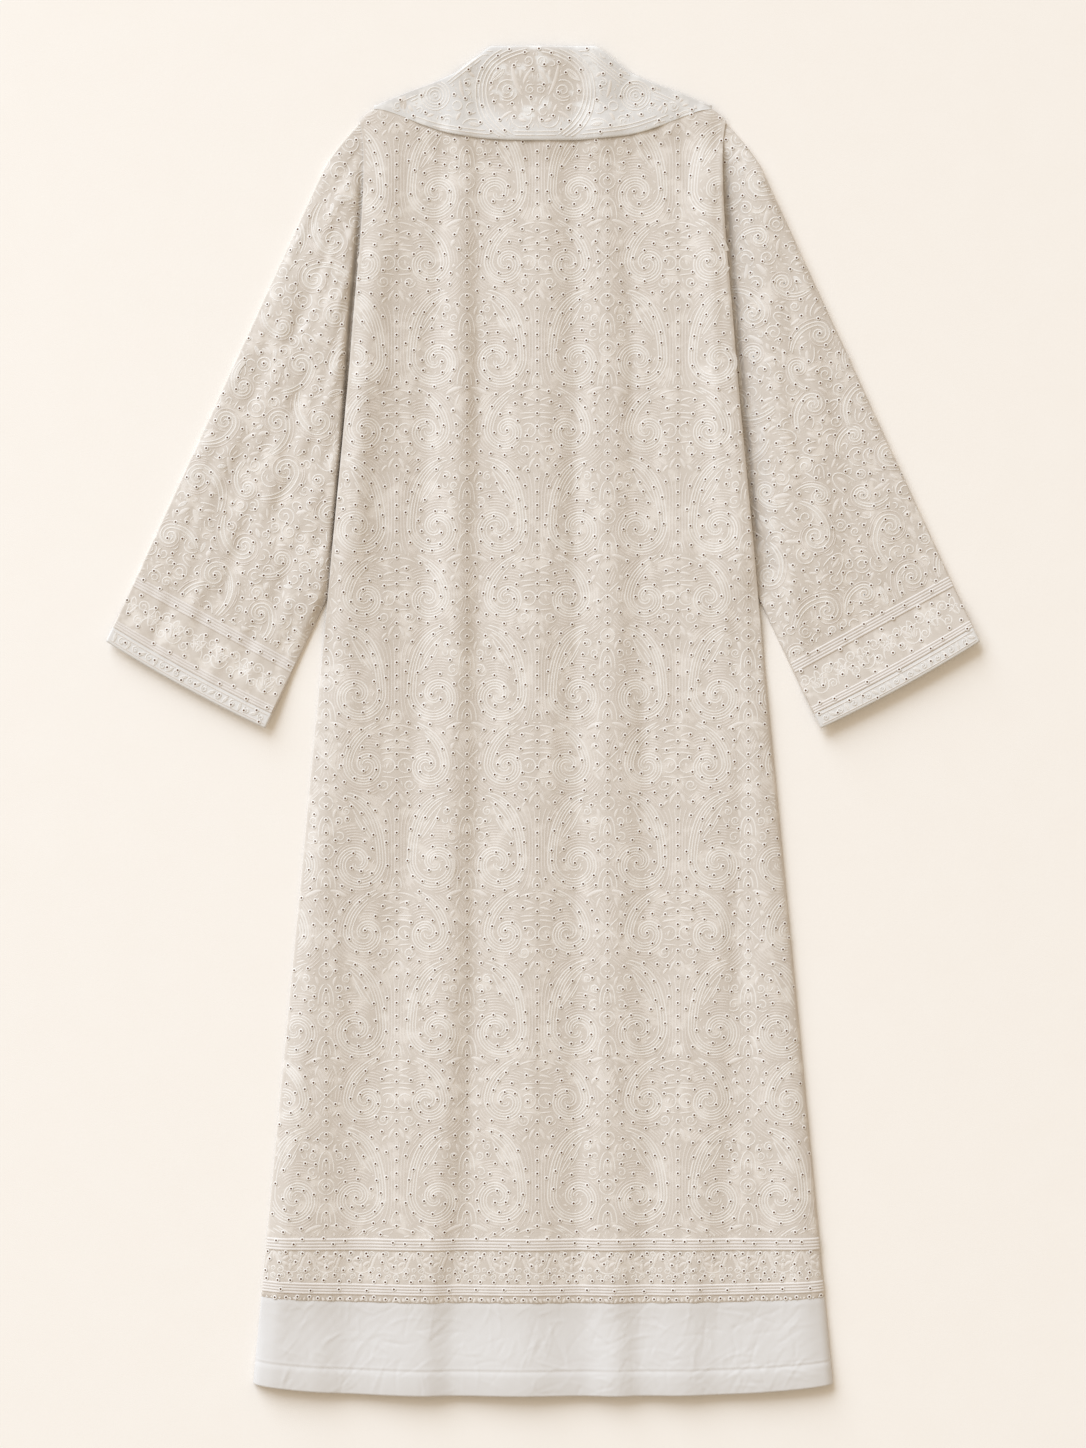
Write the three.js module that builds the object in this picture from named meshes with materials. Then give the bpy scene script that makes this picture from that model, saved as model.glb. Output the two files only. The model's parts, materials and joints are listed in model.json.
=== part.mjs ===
// A long silk kaftan with embroidered body and sleeves, laid out on its front so that its back
// shows. Millimetres, +X across to the right, +Y towards the neck, +Z up off the surface.
//
// Tailor's measures are used throughout: "drop" is the distance below the folded top edge of
// the collar, and "across" is the distance from the centre back line. The origin is under the
// middle of the outline, on the surface that the garment lies on.
import * as THREE from "three";

// ---- Driving dimensions -------------------------------------------------------------------
const LENGTH = 1400; // collar fold to hem, down the centre back
const CLOTH = 1.2; // wall of the embroidered silk with its backing
const SEAM_GAP = 0.4; // left between pieces that are sewn together
const LAY_GAP = 0.4; // left between panels that lie on each other

const NECK = { foldHalf: 55, baseHalf: 91, baseDrop: 28, backDip: 12, frontDepth: 160 };
const SHOULDER = { half: 191, drop: 71 };
const ARMPIT = { half: 202, drop: 350 };
const HEM = { half: 301, cornerDrop: 1388, turnUp: 26, turnUpCloth: 0.8 };
const BORDER_DROP = 1305; // lower edge of the embroidered cloth, at the centre
const BORDER_RISE = 7; // by which that edge is higher at the side seams
const HEM_RISE = LENGTH - HEM.cornerDrop;

// The armhole seam runs straight down under the edge of the back panel.
const ARM_SEAM = { topAcross: 175, bottomAcross: 190, bottomDrop: 358 };
const CUFF = {
  outer: { across: 453.4, drop: 617.8 },
  inner: { across: 288, drop: 708.2 },
  facing: 16, // plain strip at the wrist
};
// The overarm fold of a sleeve: a curve over the shoulder point, then a straight line.
const OVERARM_TURN = { corner: 204.5, endDrop: 123, through: { across: 218.4, drop: 107 } };
const UNDERARM_TURN = { across: 188, drop: 497 }; // corner of the underarm curve
const SLEEVE_SHOWS = { across: 223.6, drop: 572 }; // where it comes out from under the body
const SLEEVE_PARALLEL = 80; // length above the cuff where the rings stay parallel to it
const COLLAR_TIP = 175;

// ---- Tables -------------------------------------------------------------------------------
// The armhole edge of the back panel.
const ARMHOLE = [
  { drop: 71, half: 191 },
  { drop: 100, half: 187 },
  { drop: 146, half: 186.5 },
  { drop: 207, half: 190 },
  { drop: 268, half: 195.5 },
  { drop: 350, half: 202 },
];
// The lower edge of the collar, from the centre back out to its tip on the shoulder.
const COLLAR_EDGE = [
  { across: 0, drop: 98 },
  { across: 40, drop: 97 },
  { across: 79, drop: 93.5 },
  { across: 102, drop: 89 },
  { across: 125, drop: 81.5 },
  { across: 147, drop: 72.5 },
  { across: 165, drop: 66.5 },
  { across: 175, drop: 65.5 },
];
// Soft folds that run down the body: where each crest and hollow lies at five levels, and its
// height over the lowest lie of the cloth.
const FOLD_LEVELS = [165, 370, 780, 1190, 1340];
const FOLDS = [
  { lie: "crest", height: 3.6, across: [-159, -179, -206, -237, -240] },
  { lie: "hollow", height: 0, across: [-107, -117, -136, -190, -201] },
  { lie: "crest", height: 4.6, across: [-91, -91, -97, -112, -128] },
  { lie: "hollow", height: 0, across: [-55, -52, -53, -60, -73] },
  { lie: "crest", height: 4.2, across: [2, 2, -7, -14, -20] },
  { lie: "hollow", height: 0.2, across: [33, 33, 35, 36, 42] },
  { lie: "crest", height: 4.0, across: [57, 65, 68, 63, 69] },
  { lie: "hollow", height: 0.2, across: [90, 106, 122, 128, 106] },
  { lie: "crest", height: 3.2, across: [172, 178, 186, 160, 148] },
  { lie: "hollow", height: 1.0, across: [182, 190, 205, 190, 182] },
  { lie: "crest", height: 2.0, across: [188, 197, 222, 228, 232] },
];
const FOLD_FADE = { from: 70, to: 330, least: 0.45 }; // the folds grow below the collar
const SIDE_FLAT = 22; // strip along the side seams where the folds die away

// Folds of the sleeve run down beside the body, at these distances outside its edge.
const SLEEVE_FOLDS = [
  { out: -8, height: 0 },
  { out: 8, height: 0 },
  { out: 27, height: 5.4 },
  { out: 48, height: 1.6 },
  { out: 68, height: 3.2 },
  { out: 95, height: 0.6 },
  { out: 135, height: 1.6 },
  { out: 190, height: 0.4 },
];

// Raised stitched tapes: distance from the edge named, and width.
const HEM_TAPES = [
  { name: "hem_tape_upper", drop: 1238, rise: 1.5, width: 13 },
  { name: "hem_tape_lower", drop: 1286, rise: 5, width: 12 },
];
const CUFF_TAPES = [
  { name: "upper", above: 63, width: 12 },
  { name: "lower", above: 16.6, width: 8 },
];
const TAPE = { cloth: 1.0, rib: 0.5, gap: 0.6 }; // gap: between the tape and its panel

// Heights over the surface that the garment lies on.
const BACK_BASE = CLOTH + LAY_GAP;
const SLEEVE_FLAT = 2 * CLOTH + 0.6; // a sleeve pressed flat
const OVER_SLEEVE = SLEEVE_FLAT + LAY_GAP; // what lies on a sleeve
const FRONT_FOLDS = { from: 1.6, share: 0.6 }; // the front panel follows the top of each fold
const SLEEVE_UNDER_SHARE = 0.5; // the under half of a sleeve rises by this share of its folds
// The body's edge rolls over beside the sleeve: turn, crown and width are measured in from it.
const EDGE_ROLL = { height: 3.0, drop: [100, 170, 520, 590], turn: 3, crown: 8, width: 34 };
// The body rises over a sleeve: fully up to "full" in from its edge, and not past "none".
const LIFT = { full: 22, none: 50, rise: { from: -22, to: -2 }, end: { from: 585, to: 650 } };
const SLEEVE_FOLDS_GROW = { drop: [75, 150], above: [20, 190] };
const SLEEVE_TAPER = 0.9; // share of a sleeve's half width where its folds start to die away
const SLEEVE_BEND = 90; // length of sleeve over which its rings turn to the armhole seam

// ---- Small helpers ------------------------------------------------------------------------
const mix = (a, b, t) => a + (b - a) * t;
const clamp01 = (t) => Math.min(1, Math.max(0, t));
const ease = (from, to, value) => {
  const t = clamp01((value - from) / (to - from));
  return t * t * (3 - 2 * t);
};
const steps = (count) => Array.from({ length: count + 1 }, (_, i) => i / count);

/** Value of one column of a table at a position in another column, on a smooth curve. */
function lookUp(table, position, value, at) {
  const last = table.length - 1;
  if (at <= table[0][position]) return table[0][value];
  if (at >= table[last][position]) return table[last][value];
  const i = table.findIndex((row) => row[position] > at) - 1;
  const slope = (k) => {
    const a = table[Math.max(0, k - 1)];
    const b = table[Math.min(last, k + 1)];
    return (b[value] - a[value]) / (b[position] - a[position]);
  };
  const [p, q] = [table[i], table[i + 1]];
  const h = q[position] - p[position];
  const t = (at - p[position]) / h;
  return (
    p[value] * (1 + 2 * t) * (1 - t) ** 2 +
    q[value] * t * t * (3 - 2 * t) +
    h * (slope(i) * t * (1 - t) ** 2 - slope(i + 1) * t * t * (1 - t))
  );
}

/** Height of a row of crests and hollows, eased from each to the next. */
function ridges(points, at) {
  if (at <= points[0].at) return points[0].height;
  const i = points.findIndex((p) => p.at > at);
  if (i < 0) return points[points.length - 1].height;
  const [a, b] = [points[i - 1], points[i]];
  return mix(a.height, b.height, ease(a.at, b.at, at));
}

// ---- The cut of the garment ---------------------------------------------------------------
/** Half the width of the body at a drop: armhole above, straight side seam below. */
function halfWidth(drop) {
  if (drop < ARMPIT.drop) return lookUp(ARMHOLE, "drop", "half", drop);
  return mix(
    ARMPIT.half,
    HEM.half,
    (drop - ARMPIT.drop) / (HEM.cornerDrop - ARMPIT.drop),
  );
}

/** Drop of the shoulder line, which runs straight from the neck to the shoulder point. */
function shoulderDrop(across) {
  const slope = (SHOULDER.drop - NECK.baseDrop) / (SHOULDER.half - NECK.baseHalf);
  return NECK.baseDrop + (across - NECK.baseHalf) * slope;
}

/** Drop of the neck seam or shoulder line that a body panel starts at. */
function topDrop(across, neckDepth) {
  const a = Math.abs(across);
  if (a >= NECK.baseHalf) return shoulderDrop(a);
  return NECK.baseDrop + neckDepth * Math.cos((Math.PI / 2) * (a / NECK.baseHalf));
}

/** A level line across the body that bends up towards the side seams. */
const levelDrop = (drop, rise, share) => drop - rise * Math.abs(share) ** 4;

// The overarm fold of a sleeve turns over the shoulder point and runs straight to the cuff.
const sleeveLine = (() => {
  const { across, drop: from } = OVERARM_TURN.through;
  const slope = (CUFF.outer.across - across) / (CUFF.outer.drop - from);
  return (drop) => across + (drop - from) * slope;
})();
const seamAcross = (drop) =>
  mix(
    ARM_SEAM.topAcross,
    ARM_SEAM.bottomAcross,
    (drop - SHOULDER.drop) / (ARM_SEAM.bottomDrop - SHOULDER.drop),
  );
const overarmEnd = new THREE.Vector2(sleeveLine(OVERARM_TURN.endDrop), OVERARM_TURN.endDrop);
const OVERARM = new THREE.CurvePath();
OVERARM.add(
  new THREE.QuadraticBezierCurve(
    new THREE.Vector2(ARM_SEAM.topAcross, shoulderDrop(ARM_SEAM.topAcross)),
    new THREE.Vector2(OVERARM_TURN.corner, shoulderDrop(OVERARM_TURN.corner)),
    overarmEnd,
  ),
);
OVERARM.add(
  new THREE.LineCurve(overarmEnd, new THREE.Vector2(CUFF.outer.across, CUFF.outer.drop)),
);
// The underarm seam runs down under the body, then turns out to the cuff.
const UNDERARM = new THREE.CurvePath();
UNDERARM.add(
  new THREE.QuadraticBezierCurve(
    new THREE.Vector2(ARM_SEAM.bottomAcross, ARM_SEAM.bottomDrop),
    new THREE.Vector2(UNDERARM_TURN.across, UNDERARM_TURN.drop),
    new THREE.Vector2(SLEEVE_SHOWS.across, SLEEVE_SHOWS.drop),
  ),
);
UNDERARM.add(
  new THREE.LineCurve(
    new THREE.Vector2(SLEEVE_SHOWS.across, SLEEVE_SHOWS.drop),
    new THREE.Vector2(CUFF.inner.across, CUFF.inner.drop),
  ),
);
const OVERARM_LENGTH = OVERARM.getLength();
const UNDERARM_LENGTH = UNDERARM.getLength();

/** Point across a sleeve: above is the distance above the cuff, t runs overarm to underarm. */
function sleevePoint(above, t) {
  const under =
    above < SLEEVE_PARALLEL
      ? above
      : mix(
          SLEEVE_PARALLEL,
          UNDERARM_LENGTH,
          (above - SLEEVE_PARALLEL) / (OVERARM_LENGTH - SLEEVE_PARALLEL),
        );
  const a = OVERARM.getPointAt(clamp01(1 - above / OVERARM_LENGTH));
  const b = UNDERARM.getPointAt(clamp01(1 - under / UNDERARM_LENGTH));
  const point = { across: mix(a.x, b.x, t), drop: mix(a.y, b.y, t) };
  // The last rings bend to the armhole seam, so that the sleeve ends along it.
  const bend = ease(OVERARM_LENGTH - SLEEVE_BEND, OVERARM_LENGTH, above);
  point.across = mix(point.across, seamAcross(point.drop), bend);
  return point;
}

// ---- How the cloth lies -------------------------------------------------------------------
/** Height of the body's folds, 0 in the hollows. */
function bodyFolds(across, drop) {
  const level = clampLevel(drop);
  const points = FOLDS.map((fold) => ({
    at: lookUp(
      FOLD_LEVELS.map((d, i) => ({ drop: d, across: fold.across[i] })),
      "drop",
      "across",
      level,
    ),
    height: fold.height,
  }));
  const growth = mix(FOLD_FADE.least, 1, ease(FOLD_FADE.from, FOLD_FADE.to, drop));
  const inside = halfWidth(drop) - Math.abs(across);
  return ridges(points, across) * growth * ease(0, SIDE_FLAT, inside);
}
const clampLevel = (drop) =>
  Math.min(FOLD_LEVELS[FOLD_LEVELS.length - 1], Math.max(FOLD_LEVELS[0], drop));

/** How far a sleeve lifts the panel over it: 1 over the sleeve, 0 well inside the body. */
function overSleeve(across, drop, startDrop) {
  const inside = halfWidth(drop) - Math.abs(across);
  return (
    (1 - ease(LIFT.full, LIFT.none, inside)) *
    ease(startDrop + LIFT.rise.from, startDrop + LIFT.rise.to, drop) *
    (1 - ease(LIFT.end.from, LIFT.end.to, drop))
  );
}

/** The rolled edge of the back panel beside a sleeve. */
function edgeRoll(across, drop) {
  const [a, b, c, d] = EDGE_ROLL.drop;
  const inside = halfWidth(drop) - Math.abs(across);
  const along = ease(a, b, drop) * (1 - ease(c, d, drop));
  const rise = ease(0, EDGE_ROLL.turn, inside);
  const profile = rise * (1 - ease(EDGE_ROLL.crown, EDGE_ROLL.width, inside));
  return EDGE_ROLL.height * along * profile;
}

/** Underside of the back panel. */
function backUnder(across, drop) {
  const lift = overSleeve(across, drop, SHOULDER.drop) * (OVER_SLEEVE - BACK_BASE);
  const lowerLift = overSleeve(across, drop, ARMPIT.drop) * (CLOTH + LAY_GAP);
  return BACK_BASE + bodyFolds(across, drop) + lift + lowerLift + edgeRoll(across, drop);
}

/** Underside of the front panel, which rests on the surface in the hollows. */
function frontUnder(across, drop) {
  const folds = Math.max(0, bodyFolds(across, drop) - FRONT_FOLDS.from) * FRONT_FOLDS.share;
  const roll = edgeRoll(across, drop) * 0.4 * ease(ARMPIT.drop, ARMPIT.drop + 40, drop);
  return folds + overSleeve(across, drop, ARMPIT.drop) * OVER_SLEEVE + roll;
}

/** Height of a sleeve's folds, 0 where the body lies on it. */
function sleeveFolds(across, drop, above) {
  const out = Math.abs(across) - halfWidth(drop);
  const points = SLEEVE_FOLDS.map((fold) => ({ at: fold.out, height: fold.height }));
  const { drop: below, above: away } = SLEEVE_FOLDS_GROW;
  return ridges(points, out) * ease(...below, drop) * ease(...away, above);
}

// ---- Solid builders -----------------------------------------------------------------------
const toY = (drop) => LENGTH / 2 - drop;

/** Geometry from points and triangles. */
function geometryOf(points, triangles) {
  const geometry = new THREE.BufferGeometry();
  geometry.setAttribute("position", new THREE.Float32BufferAttribute(points.flat(), 3));
  geometry.setIndex(triangles.flat());
  geometry.computeVertexNormals();
  return geometry;
}

/** Two triangles of the quad a, b, c, d, which runs anticlockwise seen from outside. */
const quad = (a, b, c, d) => [
  [a, b, c],
  [a, c, d],
];

/**
 * A closed wall of cloth over a grid. place(u, v) gives {across, drop, under, cloth}; u runs
 * across from left to right, and v runs down.
 */
function clothWall(us, vs, place) {
  const points = [];
  const triangles = [];
  const [nu, nv] = [us.length, vs.length];
  const index = (i, j, upper) => 2 * (j * nu + i) + (upper ? 1 : 0);
  vs.forEach((v) =>
    us.forEach((u) => {
      const { across, drop, under, cloth } = place(u, v);
      points.push([across, toY(drop), under]);
      points.push([across, toY(drop), under + cloth]);
    }),
  );
  for (let j = 0; j + 1 < nv; j++)
    for (let i = 0; i + 1 < nu; i++) {
      const top = [index(i, j + 1, 1), index(i + 1, j + 1, 1), index(i + 1, j, 1), index(i, j, 1)];
      triangles.push(...quad(...top));
      triangles.push(...quad(...top.map((k) => k - 1).reverse()));
    }
  const rim = [];
  for (let i = 0; i < nu - 1; i++) rim.push([i, nv - 1]);
  for (let j = nv - 1; j > 0; j--) rim.push([nu - 1, j]);
  for (let i = nu - 1; i > 0; i--) rim.push([i, 0]);
  for (let j = 0; j < nv - 1; j++) rim.push([0, j]);
  rim.forEach(([i, j], k) => {
    const [m, n] = rim[(k + 1) % rim.length];
    triangles.push(...quad(index(i, j), index(m, n), index(m, n, 1), index(i, j, 1)));
  });
  return geometryOf(points, triangles);
}

/**
 * A closed tube of cloth pressed flat, open at both ends. Each ring has an outer and an inner
 * loop: over the top from the overarm to the underarm edge, and back underneath.
 */
function clothTube(rings, ts, side, place) {
  const points = [];
  const triangles = [];
  const loop = 2 * (ts.length - 1);
  rings.forEach((above) => {
    const spots = ts.map((t) => place(above, t));
    const round = (inset, cloth) => {
      const width = Math.hypot(
        spots[0].across - spots[ts.length - 1].across,
        spots[0].drop - spots[ts.length - 1].drop,
      );
      const shares = ts.map((t) => mix(inset / width, 1 - inset / width, t));
      const at = shares.map((t) => place(above, t));
      const mid = (p) => (p.low + p.high) / 2;
      at.forEach((p, k) => {
        const isEdge = k === 0 || k === at.length - 1;
        points.push([side * p.across, toY(p.drop), isEdge ? mid(p) : p.high - cloth]);
      });
      for (let k = at.length - 2; k > 0; k--)
        points.push([side * at[k].across, toY(at[k].drop), at[k].low + cloth]);
    };
    round(0, 0);
    round(CLOTH, CLOTH);
  });
  const flip = (face) => (side < 0 ? face : [face[0], face[2], face[1]]);
  const index = (r, k, inner) => (2 * r + (inner ? 1 : 0)) * loop + (k % loop);
  for (let r = 0; r + 1 < rings.length; r++)
    for (let k = 0; k < loop; k++) {
      const outer = quad(index(r, k), index(r + 1, k), index(r + 1, k + 1), index(r, k + 1));
      const inner = quad(
        index(r, k + 1, 1),
        index(r + 1, k + 1, 1),
        index(r + 1, k, 1),
        index(r, k, 1),
      );
      triangles.push(...outer.map(flip), ...inner.map(flip));
    }
  const last = rings.length - 1;
  for (let k = 0; k < loop; k++) {
    const start = quad(index(0, k), index(0, k + 1), index(0, k + 1, 1), index(0, k, 1));
    const end = quad(
      index(last, k, 1),
      index(last, k + 1, 1),
      index(last, k + 1),
      index(last, k),
    );
    triangles.push(...start.map(flip), ...end.map(flip));
  }
  return geometryOf(points, triangles);
}

// ---- Columns and rows of the body grids ---------------------------------------------------
const EDGE_OFFSETS = [0, 3, 10, 22, 36];
const BODY_COLUMNS = 26; // even shares between the edge columns

/** Columns of a body grid: fixed distances from each side edge, and even shares between. */
function bodyColumns(inner) {
  const left = EDGE_OFFSETS.map((offset) => ({ side: -1, offset }));
  const right = [...EDGE_OFFSETS].reverse().map((offset) => ({ side: 1, offset }));
  const middle = steps(inner)
    .slice(1, -1)
    .map((t) => ({ share: mix(-1, 1, t) }));
  return [...left, ...middle, ...right];
}

/** Place across of a column, where the body is half wide. */
function columnAcross(column, half) {
  if (column.side) return column.side * (half - column.offset);
  return column.share * (half - EDGE_OFFSETS[EDGE_OFFSETS.length - 1]);
}

// ---- Pieces -------------------------------------------------------------------------------
const MATERIALS = {
  embroidered: { color: 0xd6ccc0, roughness: 0.8 },
  collar: { color: 0xdcd8d3, roughness: 0.8 },
  plain: { color: 0xdedad6, roughness: 0.7 },
  tape: { color: 0xe2ded8, roughness: 0.75 },
  front: { color: 0xd3c9bd, roughness: 0.85 },
};

/** A named piece. */
function piece(name, finish, geometry) {
  const material = new THREE.MeshStandardMaterial({ metalness: 0, ...MATERIALS[finish] });
  const mesh = new THREE.Mesh(geometry, material);
  mesh.name = name;
  return mesh;
}

// Rows of a body panel: shares of the way from its top down to the first level row, and the
// drops of the level rows.
const TOP_SHARES = [0, 0.1, 0.2, 0.32, 0.45, 0.58, 0.72, 0.86];
const LEVEL_ROWS = [240, 295, 350, 370, 420, 475, 525, 560, 590, 620, 650, 740, 850];
LEVEL_ROWS.push(960, 1070, 1180, BORDER_DROP);

/** Drop of a point of a body panel, in the row of the index given. */
function panelDrop(row, top, share) {
  const down = row - TOP_SHARES.length;
  if (down < 0) return mix(top, LEVEL_ROWS[0], TOP_SHARES[row]);
  const drop = LEVEL_ROWS[down];
  return levelDrop(drop, BORDER_RISE * ease(LEVEL_ROWS[0], BORDER_DROP, drop), share);
}
const PANEL_ROWS = [...TOP_SHARES, ...LEVEL_ROWS].map((_, row) => row);

/** Back panel: neck and shoulder line down to the lower edge of the embroidery. */
function backPanel() {
  const place = (column, row) => {
    const topAcross = columnAcross(column, SHOULDER.half);
    const top = topDrop(topAcross, NECK.backDip) + SEAM_GAP;
    const share = columnAcross(column, HEM.half) / HEM.half;
    const drop = panelDrop(row, top, share);
    const across = columnAcross(column, halfWidth(drop));
    return { across, drop, under: backUnder(across, drop), cloth: CLOTH };
  };
  return piece("back_panel", "embroidered", clothWall(bodyColumns(BODY_COLUMNS), PANEL_ROWS, place));
}

/** Front panel: plain, with a scooped neck; its armhole edge meets the end of the sleeve. */
function frontPanel() {
  const edge = (drop) => {
    const belowArm = ease(ARMPIT.drop, LEVEL_ROWS[3], drop);
    return mix(seamAcross(drop) - SEAM_GAP, halfWidth(drop), belowArm);
  };
  const place = (column, row) => {
    const topAcross = columnAcross(column, edge(SHOULDER.drop));
    const top = topDrop(topAcross, NECK.frontDepth) + SEAM_GAP;
    const share = columnAcross(column, HEM.half) / HEM.half;
    const drop = panelDrop(row, top, share);
    const across = columnAcross(column, edge(drop));
    return { across, drop, under: frontUnder(across, drop), cloth: CLOTH };
  };
  return piece("front_panel", "front", clothWall(bodyColumns(BODY_COLUMNS), PANEL_ROWS, place));
}

/** One side of the plain hem band, with its turned-up hem. */
function hemBand(name, under) {
  const place = (column, v) => {
    const share = columnAcross(column, HEM.half) / HEM.half;
    const top = levelDrop(BORDER_DROP, BORDER_RISE, share) + SEAM_GAP;
    const bottom = levelDrop(LENGTH, HEM_RISE, share);
    const turn = 1 - HEM.turnUp / (bottom - top);
    const at = v < 0 ? turn - 0.02 : v <= 1 ? mix(turn, 1, v) : mix(0, turn - 0.02, v - 2);
    const drop = mix(top, bottom, at);
    const across = columnAcross(column, halfWidth(drop));
    const turned = at >= turn ? HEM.turnUpCloth : 0;
    return { across, drop, ...under(across, drop, turned) };
  };
  // v from 2 to 3 runs down the single cloth, and from 0 to 1 down the turned-up hem.
  const rows = [2, 2.5, 3, 0, 0.5, 1];
  return piece(name, "plain", clothWall(bodyColumns(BODY_COLUMNS), rows, place));
}

const backHemBand = () =>
  hemBand("back_hem_band", (across, drop, turned) => ({
    under: backUnder(across, drop),
    cloth: CLOTH + turned,
  }));
const frontHemBand = () =>
  hemBand("front_hem_band", (across, drop) => ({
    under: frontUnder(across, drop),
    cloth: CLOTH,
  }));

/** Top outline of the collar: the fold behind the neck, its slope, and the shoulder line. */
function collarTop(across) {
  const a = Math.abs(across);
  if (a <= NECK.foldHalf) return 0;
  if (a <= NECK.baseHalf)
    return (NECK.baseDrop * (a - NECK.foldHalf)) / (NECK.baseHalf - NECK.foldHalf);
  return shoulderDrop(a);
}

const COLLAR_COLUMNS = [0, 20, 40, NECK.foldHalf, 66, 79, NECK.baseHalf, 106, 122, 138, 155, 167];
const mirrored = (values) => [...values.map((a) => -a).reverse(), ...values.slice(1)];
const COLLAR_ROLL = { height: 3.2, turn: 4, from: 12, to: 60 };

/** How far the collar stands off the neck, near its fold. */
function collarRoll(across, drop) {
  const below = drop - collarTop(across);
  const middle = 1 - ease(NECK.baseHalf - 15, NECK.baseHalf + 40, Math.abs(across));
  const profile = 1 - ease(COLLAR_ROLL.from, COLLAR_ROLL.to, below);
  return COLLAR_ROLL.height * profile * ease(0, COLLAR_ROLL.turn, below) * middle;
}

/** The collar's fall: from its fold behind the neck down over the back and the shoulders. */
function collarFall() {
  const place = (across, v) => {
    const bottom = lookUp(COLLAR_EDGE, "across", "drop", Math.abs(across));
    const top = Math.min(collarTop(across), bottom - 2.5);
    const drop = mix(top, bottom, v);
    const onPanel = Math.max(backUnder(across, drop), BACK_BASE) + CLOTH + LAY_GAP;
    const cloth = CLOTH * (Math.abs(across) > COLLAR_TIP - 1 ? 0.7 : 1);
    return { across, drop, under: onPanel + collarRoll(across, drop), cloth };
  };
  const columns = mirrored([...COLLAR_COLUMNS, COLLAR_TIP]);
  const rows = [0, 0.05, 0.14, 0.3, 0.5, 0.75, 1];
  return piece("collar_fall", "collar", clothWall(columns, rows, place));
}

/** The collar's stand, between the fold and the neck seam, under the fall. */
function collarStand() {
  const place = (across, v) => {
    const top = collarTop(across) + 1;
    const bottom = Math.max(topDrop(across, NECK.backDip) - SEAM_GAP, top + 1.5);
    return { across, drop: mix(top, bottom, v), under: BACK_BASE, cloth: CLOTH };
  };
  const columns = mirrored(COLLAR_COLUMNS.filter((a) => a < NECK.baseHalf - 5));
  return piece("collar_stand", "collar", clothWall(columns, [0, 0.5, 1], place));
}

/** A spot on a sleeve with the heights of its under and upper surface. */
function sleeveSpot(above, t) {
  const { across, drop } = sleevePoint(above, t);
  const folds = sleeveFolds(across, drop, above);
  const width = 1 - ease(SLEEVE_TAPER, 1, Math.abs(2 * t - 1));
  const high = SLEEVE_FLAT + folds * width;
  return { across, drop, low: folds * width * SLEEVE_UNDER_SHARE, high };
}

const SLEEVE_SHARES = [0, 0.012, 0.08, 0.18, 0.29, 0.4, 0.51, 0.61, 0.7, 0.78, 0.85, 0.92, 0.988, 1];

/** A sleeve: one tube from the armhole to the strip at the wrist. */
function sleeve(name, side) {
  const start = OVERARM_LENGTH;
  const end = CUFF.facing + SEAM_GAP;
  const rings = [0, 0.03, 0.06, 0.1, 0.16, 0.24, 0.33, 0.43, 0.54, 0.66, 0.78, 0.9, 1].map((s) =>
    mix(start, end, s),
  );
  return piece(name, "embroidered", clothTube(rings, SLEEVE_SHARES, side, sleeveSpot));
}

/** The strip of plainer cloth at the wrist. */
function cuffFacing(name, side) {
  const rings = [CUFF.facing, CUFF.facing / 2, 0];
  return piece(name, "plain", clothTube(rings, SLEEVE_SHARES, side, sleeveSpot));
}

/** A stitched tape across the back, made from the panel's own points, moved up. */
function hemTape({ name, drop, rise, width }) {
  const place = (column, v) => {
    const share = columnAcross(column, HEM.half) / HEM.half;
    const d = levelDrop(drop, rise, share) + width * v;
    const trimmed = column.offset === 0 ? { ...column, offset: 0.5 } : column;
    const across = columnAcross(trimmed, halfWidth(d));
    const rib = v > 0 && v < 1 ? TAPE.rib : 0;
    const under = backUnder(across, d) + CLOTH + TAPE.gap;
    return { across, drop: d, under, cloth: TAPE.cloth + rib };
  };
  return piece(name, "tape", clothWall(bodyColumns(BODY_COLUMNS), [0, 0.25, 0.75, 1], place));
}

/** A stitched tape across the showing half of a sleeve. */
function cuffTape(name, side, { above, width }) {
  const place = (t, v) => {
    const spot = sleeveSpot(above + width * v, t);
    const rib = v > 0 && v < 1 ? TAPE.rib : 0;
    const under = spot.high + TAPE.gap;
    return { across: side * spot.across, drop: spot.drop, under, cloth: TAPE.cloth + rib };
  };
  const shares = SLEEVE_SHARES.slice(1, -1);
  const columns = side < 0 ? shares : [...shares].reverse();
  return piece(name, "tape", clothWall(columns, [1, 0.75, 0.25, 0], place));
}

// ---- The kaftan ---------------------------------------------------------------------------
const kaftan = new THREE.Group();
kaftan.add(frontPanel(), backPanel(), frontHemBand(), backHemBand());
kaftan.add(collarStand(), collarFall());
HEM_TAPES.forEach((tape) => kaftan.add(hemTape(tape)));
[
  { label: "left", side: -1 },
  { label: "right", side: 1 },
].forEach(({ label, side }) => {
  kaftan.add(sleeve(`sleeve_${label}`, side), cuffFacing(`cuff_facing_${label}`, side));
  CUFF_TAPES.forEach((tape) =>
    kaftan.add(cuffTape(`cuff_tape_${tape.name}_${label}`, side, tape)),
  );
});

export default kaftan;
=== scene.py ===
"""A long ivory silk kaftan with tone-on-tone cord embroidery, laid out flat with its back up.

Cloth sizes are tailor's measures in millimetres: "drop" is the distance below the folded top
edge of the collar, and "across" is the distance from the centre back line, to the right.
Meshes are made in metres in the frame's own axes: +X across, +Y towards the neck, +Z up.
"""

from __future__ import annotations

import json
import logging
import math
from dataclasses import dataclass, field, replace
from enum import Enum, IntEnum
from typing import Callable, Iterable, Sequence

import bpy
import numpy as np
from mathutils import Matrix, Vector
from mathutils.bvhtree import BVHTree
from mathutils.kdtree import KDTree

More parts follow.
